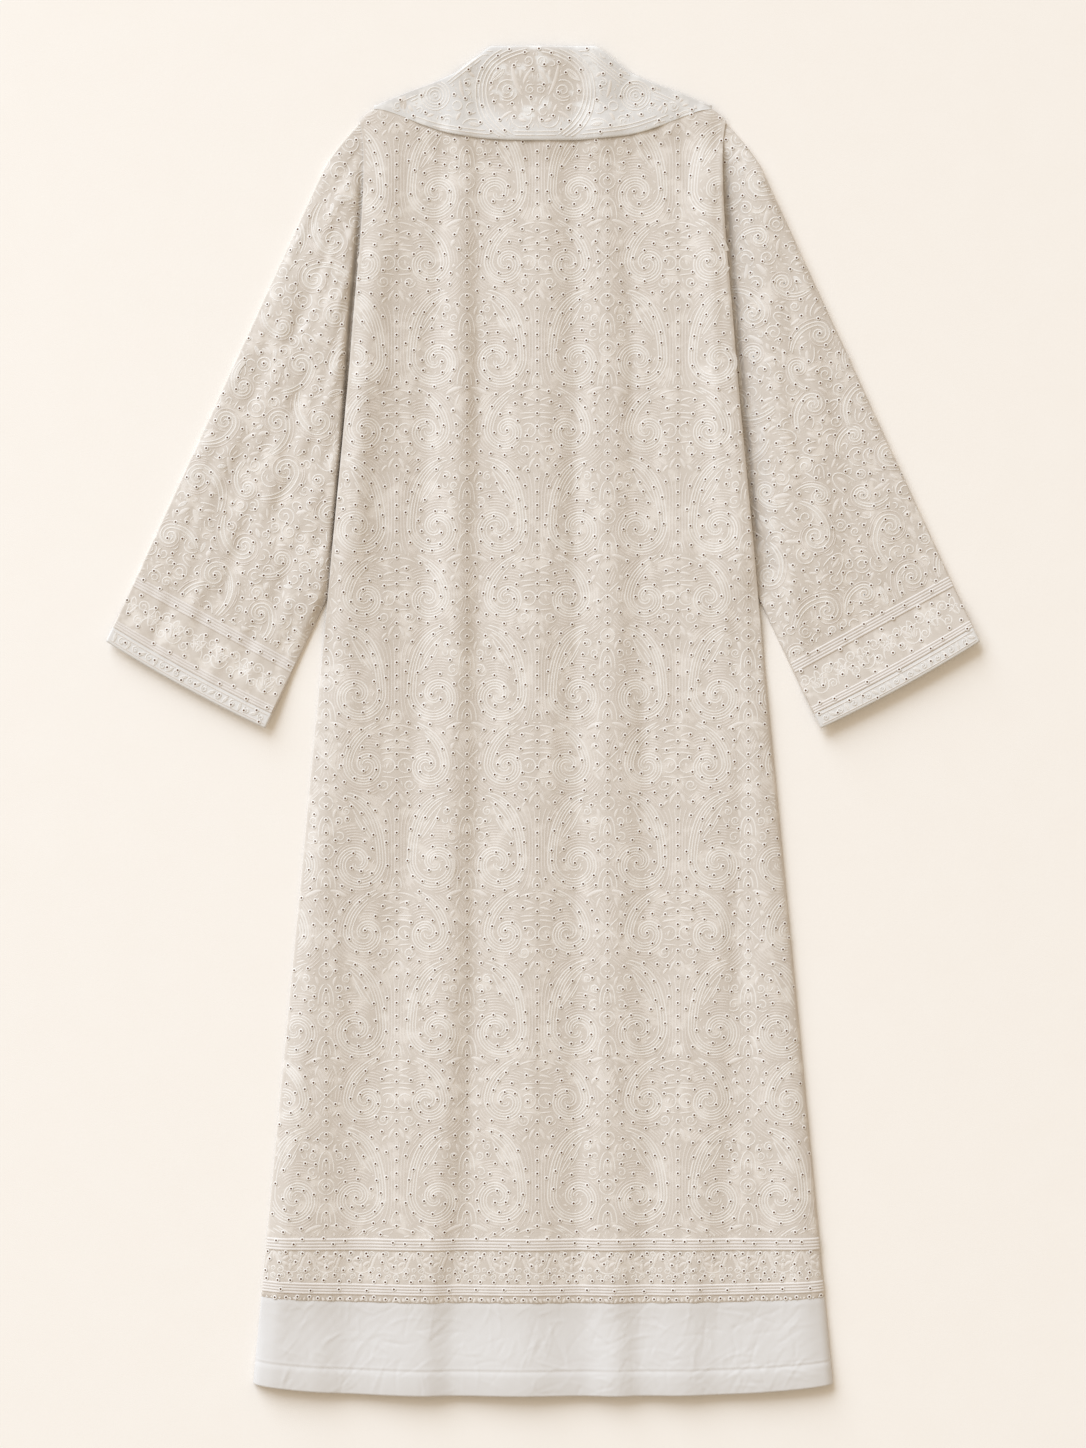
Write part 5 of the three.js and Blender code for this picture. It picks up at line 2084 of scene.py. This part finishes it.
@dataclass
class BackEmbroidery:
    """The field of paisleys on the back and the floral border above its lower edge."""

    cut: Cut
    repeat: Repeat = Repeat()
    axis_across: float = -6
    first_drop: float = 6
    field_end: float = 1237
    side_margin: float = 1.6
    border_top: float = 1251.5
    border_bottom: float = 1275
    border_pitch: float = 36.5
    tape_starts: Pair = (1237, 1285)
    tape_ends: Pair = (1252, 1299)
    row_gap: float = 13.6
    fill_gap: float = 10.2
    border_gap: float = 9.6
    seam_row: Three = (-292, 293, 4.9)
    seam_row_rise: float = 2.5
    sequin_rows: tuple[Pair, ...] = ((1254, 17), (1282.4, 12.5), (1292, 29), (1300.4, 11.3))
    seed: int = 11

    def bend(self, across: Array) -> Array:
        """How far the border's lines rise towards the side seams."""
        return 4.0 * np.abs(across / self.cut.hem_half) ** 4

    def in_field(self, across: Array, drop: Array) -> Array:
        """Whether places are on the showing field of paisleys."""
        cut = self.cut
        inside = cut.inside(across, drop) > self.side_margin
        under_collar = (np.abs(across) < cut.collar_tip) & (drop < cut.collar_bottom(across) + 1)
        below_top = drop > cut.shoulder_line(across) + 1.5
        return inside & ~under_collar & below_top & (drop < self.field_end - self.bend(across))

    def in_border(self, across: Array, drop: Array) -> Array:
        """Whether places are on the cloth below the field."""
        inside = self.cut.inside(across, drop) > self.side_margin
        return inside & (drop > self.field_end)

    def on_cloth(self, across: Array, drop: Array) -> Array:
        """Whether places are on the showing cloth."""
        return self.in_field(across, drop) | self.in_border(across, drop)

    def on_tape(self, across: Array, drop: Array) -> Array:
        """Whether places are on one of the two cord tapes."""
        level = drop + self.bend(across)
        starts_and_ends = zip(self.tape_starts, self.tape_ends)
        return sum((level > low) & (level < high) for low, high in starts_and_ends) > 0

    def cells(self) -> list[Thread]:
        """Threads of every repeat."""
        half, made = self.repeat.half(), []
        for column in range(-2, 3):
            for row in range(-1, 8):
                made += self.repeat.both(
                    self.axis_across + column * self.repeat.wide,
                    self.first_drop + row * self.repeat.tall,
                    half,
                )
        return made

    def border(self, scatter: Scatter) -> list[Thread]:
        """Threads of the border: flowers between leaning petals, and loops on the edge."""
        made: list[Figure] = []
        middle = (self.border_top + self.border_bottom) / 2
        tall = self.border_bottom - self.border_top
        below = self.border_bottom + 3.2
        for k in range(-9, 10):
            x = self.axis_across + k * self.border_pitch
            half = x + self.border_pitch / 2
            for turn in range(30, 390, 60):
                angle = math.radians(turn)
                place = (x + 6.2 * math.cos(angle), middle - 1.0 - 6.2 * math.sin(angle))
                made.append(Figure(Shape.PETAL, *place, 9, turn, 4.8))
            made.append(Figure(Shape.RING, x, middle - 1, 4))
            made.append(Figure(Shape.ARCH, x, middle + 5.5, 12, 180, 11))
            for side in Side:
                for row, size in ((-8, 8), (8.5, 9)):
                    place = (x + side * 11, middle + row)
                    made.append(Figure(Shape.SPIRAL, *place, size, 120 * side))
            for side in Side:
                place, lean = (half + side * 4, middle - 1), 68 * side
                made.append(Figure(Shape.PETAL, *place, tall * 0.92, lean, 4.2))
                place = (half + side * 8.8, middle - 1.5)
                made.append(Figure(Shape.BAR, *place, tall * 0.7, lean, 2.4))
            made.append(Figure(Shape.PETAL, half, middle - 6, 8, 90, 3.2))
            made.append(Figure(Shape.RING, half, middle + 7.5, 4.6))
            for place, turn in ((x, 90), (x + 9, -60), (half, 60), (half + 9, -90)):
                made.append(Figure(Shape.SPIRAL, place, below, 7.4, turn))
        seam = self.cut.border_drop - self.seam_row_rise
        for x in np.arange(*self.seam_row).tolist():
            turn = 90 + 60 * float(scatter.random.uniform(-1, 1))
            made.append(Figure(Shape.PETAL, x, seam, 5.6, turn, 3.5))
        return [self.bent(thread) for thread in threads_of(made)]

    def bent(self, thread: Thread) -> Thread:
        """A thread moved up with the border's bend."""
        path = thread.path.copy()
        path[:, 1] -= self.bend(path[:, 0])
        return replace(thread, path=path)

    def spots(self, scatter: Scatter) -> Array:
        """Places of the sequins: rows on the axes and in the border, then a loose fill."""
        cut, rows = self.cut, []
        for column in range(-6, 7):
            x = self.axis_across + column * self.repeat.wide / 2
            drops = np.arange(self.first_drop + 8, self.field_end - 4, self.row_gap)
            rows.append(np.column_stack([np.full(len(drops), x), drops]))
        for drop, gap in self.sequin_rows:
            x = np.arange(-cut.hem_half, cut.hem_half, gap)
            x = x + scatter.random.uniform(-2.2, 2.2, len(x))
            y = drop + scatter.random.uniform(-1.3, 1.3, len(x)) - self.bend(x)
            rows.append(np.column_stack([x, y]))
        fixed = np.vstack(rows)
        box = (-cut.hem_half, cut.shoulder_drop - 20, cut.hem_half, cut.border_drop - 4)
        low, high = self.border_top + 4.0, self.border_bottom + 3.0
        dense = scatter.places((-cut.hem_half, low, cut.hem_half, high), self.border_gap)
        fixed = np.vstack([fixed[(fixed[:, 1] < low) | (fixed[:, 1] > high)], dense])
        fill = scatter.places(box, self.fill_gap, fixed)
        return np.vstack([fixed, fill])

    def build(self, room: Workroom, back: Cloth) -> None:
        """Sews everything on the back panel."""
        scatter = Scatter(self.seed)
        field_threads, border_threads = self.cells(), self.border(scatter)
        work = Needlework(self.cut, room, "back", back, self.on_cloth, on_tape=self.on_tape)
        replace(work, keep=self.in_field).sew("field", field_threads)
        replace(work, keep=self.in_border).sew("border", border_threads)
        work.scatter_sequins(self.spots(scatter), field_threads + border_threads)


@dataclass
class SleeveEmbroidery:
    """Scrolls that fill a sleeve, and the floral border of its cuff."""

    cut: Cut
    sleeve: Sleeve
    seed: int
    field_start: float = 78
    paisley: Paisley = Paisley(tail=(14, -6), head=(32, 45), radius=20, heart=2.5, pull=(52, 6))
    box: Four = (150, 70, 470, 720)
    paisley_gap: float = 40
    paisley_sizes: Pair = (0.46, 0.78)
    scroll_gap: float = 12.5
    fill_gap: float = 10.8
    border: Pair = (26, 61)
    border_pitch: float = 27
    strip_cords: Pair = (3.6, 13.4)
    strip_middle: float = 8.6
    field_relief: float = 1.35
    strip_relief: float = 1.5

    def above_cuff(self, across: Array, drop: Array) -> Array:
        """Distance of places above the cuff's edge."""
        shape, along = self.sleeve.shape, self.sleeve.shape.cuff_direction()
        x = across * self.sleeve.side - shape.cuff_outer[0]
        y = drop - shape.cuff_outer[1]
        above = y * along[0] - x * along[1]
        return above + shape.bow(above, (x * along[0] + y * along[1]) / self.sleeve.width())

    def showing(self, across: Array, drop: Array) -> Array:
        """Whether places on the sleeve are outside the body's edge."""
        out = -self.cut.inside(across, drop)
        return (out > -5.0) & (across * self.sleeve.side > 0)

    def in_field(self, across: Array, drop: Array) -> Array:
        """Whether places are on the scrolls' part of the sleeve."""
        return self.showing(across, drop) & (self.above_cuff(across, drop) > self.field_start)

    def on_sleeve(self, across: Array, drop: Array) -> Array:
        """Whether places are on the embroidered part of the sleeve."""
        return self.showing(across, drop) & (self.above_cuff(across, drop) > 17.0)

    def on_strip(self, across: Array, drop: Array) -> Array:
        """Whether places are on the plainer strip at the wrist."""
        above = self.above_cuff(across, drop)
        return (above > 2.4) & (above < 15.0)

    def on_tape(self, across: Array, drop: Array) -> Array:
        """Whether places are on one of the cuff's cord tapes."""
        above = self.above_cuff(across, drop)
        tapes = self.sleeve.tapes
        on = [(above > tape.start - 1) & (above < tape.start + tape.width + 1) for tape in tapes]
        return np.any(on, axis=0)

    def scrolls(self, scatter: Scatter) -> list[Thread]:
        """Threads of the field: large paisleys, then scrolls, then small figures."""
        box, made = self.box, []
        ground = Ground(box)
        places = scatter.places(box, self.paisley_gap)
        turns = scatter.random.uniform(0, 360, len(places))
        sizes = scatter.random.uniform(*self.paisley_sizes, len(places))

        def placed(thread: Thread, k: int) -> Thread:
            """A paisley's thread at one of the places, turned and sized."""
            centred = thread.moved(-self.paisley.head[0], -self.paisley.head[1])
            return centred.turned(float(turns[k]), float(sizes[k])).moved(*places[k])

        for k in range(len(places)):
            made += ground.lay([placed(thread, k) for thread in self.paisley.core()], 2.2)
        for number in range(1, 4):
            echoes = [placed(self.paisley.echo(number), k) for k in range(len(places))]
            made += ground.lay(echoes, 2.0, 7.0)
        for place in scatter.places(box, self.scroll_gap):
            size = float(scatter.random.uniform(11, 23))
            made += ground.lay(scatter.scroll(place, size), 2.0, 6.0)
        wider = [replace(filler, tries=filler.tries * 9) for filler in FILLERS]
        made += ground.fill(scatter, wider)
        if self.sleeve.side < 0:
            made = [thread.moved(0, 0, flip=True) for thread in made]
        return made

    def cuff_border(self, scatter: Scatter) -> list[Thread]:
        """Threads of the border between the cuff's tapes, and fine cords, spirals and leaves below them.
        """
        made: list[Figure] = []
        middle, width = sum(self.border) / 2, self.sleeve.width()
        for k in range(int(width / self.border_pitch) + 1):
            x = (k + 0.25) * self.border_pitch
            half = x + self.border_pitch / 2
            for turn in range(20 * k, 20 * k + 360, 72):
                angle = math.radians(turn)
                place = (x + 6.0 * math.cos(angle), middle + 2 - 6.0 * math.sin(angle))
                made.append(Figure(Shape.ARCH, *place, 7.6, turn - 90, 2.7))
            made.append(Figure(Shape.RING, x, middle + 2, 3.4))
            made.append(Figure(Shape.ARCH, x, middle - 6, 12, 180 * (k % 2), 9))
            made.append(Figure(Shape.SPIRAL, half, middle + 7, 13, 70 * k))
            made.append(Figure(Shape.SPIRAL, half + 1, middle - 8, 11, 50 * k + 90))
            for side in Side:
                place = (half + 9 * side, middle - 1)
                made.append(Figure(Shape.PETAL, *place, 15, 90 + 24 * side, 3.4))
        threads = threads_of(made)
        for above in self.strip_cords:
            x = np.linspace(3, width - 3, 60)
            path = np.column_stack([x, above + 0 * x])
            threads.append(Thread(path, 1.5, 0.45, Stitch.FINE))
        middle = self.strip_middle
        for number, x in enumerate(np.arange(7, width - 5, 8.2).tolist()):
            turn = float(scatter.random.uniform(-40, 40))
            spiral = Figure(Shape.SPIRAL, x, middle, 7.6, turn + 90)
            leaf = Figure(Shape.LEAF, x, middle, 9, turn + 70, 2.4)
            threads += (spiral if number % 2 else leaf).threads()
        placed = []
        for thread in threads:
            inside = (thread.path[:, 0] > 2) & (thread.path[:, 0] < width - 2)
            if inside.all():
                path = self.sleeve.on_cuff(thread.path[:, 0], thread.path[:, 1])
                placed.append(replace(thread, path=path))
        return placed

    def build(self, room: Workroom, cloth: Cloth, strip: Cloth) -> None:
        """Sews everything on the sleeve and on its wrist strip.

        Args:
            room: Where the pieces are dressed and reported.
            cloth: The sleeve.
            strip: Its wrist strip.
        """
        scatter, label = Scatter(self.seed), self.sleeve.label
        field_threads, cuff_threads = self.scrolls(scatter), self.cuff_border(scatter)
        work = Needlework(self.cut, room, f"sleeve_{label}", cloth, self.on_sleeve, on_tape=self.on_tape)
        replace(work, keep=self.in_field, relief=self.field_relief).sew("field", field_threads)
        work.sew("cuff", cuff_threads)
        on_strip = Needlework(self.cut, room, f"wrist_{label}", strip, self.on_strip)
        on_strip = replace(on_strip, relief=self.strip_relief)
        on_strip.sew("edge", cuff_threads)
        spots = scatter.places(self.box, self.fill_gap) * (self.sleeve.side, 1)
        on_strip.scatter_sequins(spots, cuff_threads)
        work.scatter_sequins(spots, field_threads + cuff_threads)


@dataclass
class CollarEmbroidery:
    """The collar's middle medallion, with scrolls out to the shoulders."""

    cut: Cut
    small_figures: tuple[Figure, ...] = charted(
        """
        petal 19 35 34 108 5
        petal 8 32 18 60 4.4
        spiral 29 46 17 30
        ring 29 46 22
        arch 10 57 12 20 4.4
        ring 8 68 8
        arch 14 78 14 180 11
        petal 30 72 16 35 3.8
        ring 66 64 12
        ring 81 62 10
        petal 76 42 24 100 4
        petal 70 28 18 -30 4
        arch 66 82 13 10 12
        spiral 92 78 14 200
        petal 112 74 16 25 3.8
        arch 130 62 14 60 10
        petal 128 57 13 -25 3.6
        spiral 143 62 12 0
        petal 154 62 11 -20 3.4
        """
    )
    axis_across: float = -8
    seed: int = 29
    circle_middle: Pair = (104, 51)
    circle_sizes: Row = (31, 24.6, 18.2, 11.8, 5)
    gap: float = 2.5
    relief: float = 1.3
    edge_margin: float = 2.4
    fill_gap: float = 12
    field: Four = (-172, 2, 172, 96)

    def on_collar(self, across: Array, drop: Array) -> Array:
        """Whether places are on the fall."""
        top, bottom = self.cut.collar_top(across), self.cut.collar_bottom(across)
        below = drop > top + self.edge_margin
        return below & (drop < bottom - self.edge_margin) & (np.abs(across) < 170)

    def frame_lines(self) -> list[Thread]:
        """Right half of the cords round the medallion, and of those along the collar."""
        made: list[Thread] = []
        for k in range(4):
            out = 3.6 * k
            turn = (51 + out, 46.0)
            upper = bezier((6, 6 - out), (50 + out, 14 - out), turn, 18)
            lower = bezier(turn, (51 + out, 72 + out), (24 + out, 92 + out * 0.3), 14)
            path = np.vstack([upper, lower[1:]])
            made.append(Thread(path, 2 if k == 0 else 1.8, 0.6))
        for k in range(3):
            x = np.linspace(14, 146 - 8 * k, 50)
            y = self.cut.collar_top(x) + 5.0 + 3.8 * k
            made.append(Thread(np.column_stack([x, y])[6 + 6 * k :], 1.7, 0.5))
        for k in range(2):
            x = np.linspace(0, 138 - 12 * k, 50)
            y = self.cut.collar_bottom(x) - 5.0 - 3.8 * k
            made.append(Thread(np.column_stack([x, y]), 1.7, 0.5))
        rings = [Figure(Shape.RING, *self.circle_middle, size) for size in self.circle_sizes]
        return threads_of(rings) + made

    def build(self, room: Workroom, fall: Cloth) -> None:
        """Sews everything on the collar's fall."""
        scatter, ground = Scatter(self.seed), Ground((0.0, 0.0, 186.0, 100.0))
        half = self.frame_lines() + threads_of(self.small_figures)
        half = ground.lay(half, self.gap, 4.0)
        half += ground.fill(scatter, [replace(row, tries=row.tries * 2) for row in FILLERS])
        threads = [thread.moved(self.axis_across, 0) for thread in half]
        threads += [thread.moved(self.axis_across, 0, flip=True) for thread in half]
        work = Needlework(self.cut, room, "collar", fall, self.on_collar, relief=self.relief)
        work.sew("fall", threads)
        spots = scatter.places(self.field, self.fill_gap)
        work.scatter_sequins(spots, threads)


# ---- Studio ---------------------------------------------------------------------------------
@dataclass
class Studio:
    """A pale table seen from straight above, lit softly from the upper left."""

    table_size: float = 7
    camera_height: float = 3.2
    seen_height: float = 1.506
    centre_y: float = -0.0036
    sensor: float = 36
    key_from: Three = (-1.62, 2.7, 1.6)
    key_strength: float = 3.236
    key_angle: float = 44
    side_place: Three = (-2.6, 0.8, 2.2)
    side_size: float = 1.2
    side_watts: float = 16.23
    lamp_colour: Three = (0.729, 0.847, 1)
    fill_colour: Four = (1, 0.85, 0.655, 1)
    fill_strength: float = 0.583

    def table(self, room: Workroom) -> None:
        """Makes the table, which isn't part of the kaftan."""
        half = self.table_size / 2
        corners = np.array([[-half, -half, 0], [half, -half, 0], [half, half, 0], [-half, half, 0]])
        table = mesh_object("table", corners, np.array([[0, 1, 2, 3]]), smooth=False)
        room.dress(table, room.finishes.floor)
        return table

    def lights(self) -> None:
        """Hangs the key and side lights and sets the soft light all round."""
        key = bpy.data.lights.new("key", "SUN")
        key.energy, key.angle = self.key_strength, math.radians(self.key_angle)
        side = bpy.data.lights.new("side", "AREA")
        side.shape, side.size, side.energy = "DISK", self.side_size, self.side_watts
        for light, place in ((key, self.key_from), (side, self.side_place)):
            light.color = self.lamp_colour
            lamp = bpy.data.objects.new(light.name, light)
            lamp.location = place
            lamp.rotation_euler = (-Vector(place)).to_track_quat("-Z", "Y").to_euler()
            bpy.context.scene.collection.objects.link(lamp)
        world = bpy.data.worlds.new("soft_room")
        world.use_nodes = True
        around = world.node_tree.nodes["Background"]
        around.inputs["Color"].default_value = self.fill_colour
        around.inputs["Strength"].default_value = self.fill_strength
        bpy.context.scene.world = world

    def camera(self) -> None:
        """Sets the camera over the middle of the kaftan."""
        lens = bpy.data.cameras.new("camera")
        lens.sensor_fit = "VERTICAL"
        lens.sensor_height = lens.sensor_width = self.sensor
        lens.lens = self.sensor * self.camera_height / self.seen_height
        camera = bpy.data.objects.new("camera", lens)
        camera.location = (0.0, self.centre_y, self.camera_height)
        bpy.context.scene.collection.objects.link(camera)
        bpy.context.scene.camera = camera
        bpy.context.scene.view_settings.view_transform = "Standard"


def main() -> None:
    """Builds the kaftan piece by piece, then the studio round it."""
    for left_over in list(bpy.data.objects):
        bpy.data.objects.remove(left_over)
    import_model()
    cut, room = Cut(), Workroom(Finishes())
    lie, grid = Lie(cut), BodyGrid(cut)
    studio = Studio()
    studio.table(room)

    body = Body(cut, lie, grid)
    body.front(room)
    body.front_band(room)
    body.back_band(room)
    back = body.back(room)
    HemTrim(cut, grid).build(room, back)
    BackEmbroidery(cut).build(room, back)

    for side, seed in ((Side.LEFT, 5), (Side.RIGHT, 17)):
        sleeve = Sleeve(cut, lie, SleeveCut(cut), side.name.lower(), side)
        cloth, strip = sleeve.build(room), sleeve.strip(room)
        sleeve.trims(room, cloth)
        SleeveEmbroidery(cut, sleeve, seed).build(room, cloth, strip)

    collar = Collar(cut, lie)
    collar.stand(room)
    CollarEmbroidery(cut).build(room, collar.fall(room))

    for sheet in room.sheets:
        sheet.declare()
    studio.lights()
    studio.camera()


if __name__ == "__main__":
    logging.basicConfig(level=logging.INFO, format="%(name)s: %(message)s")
    main()
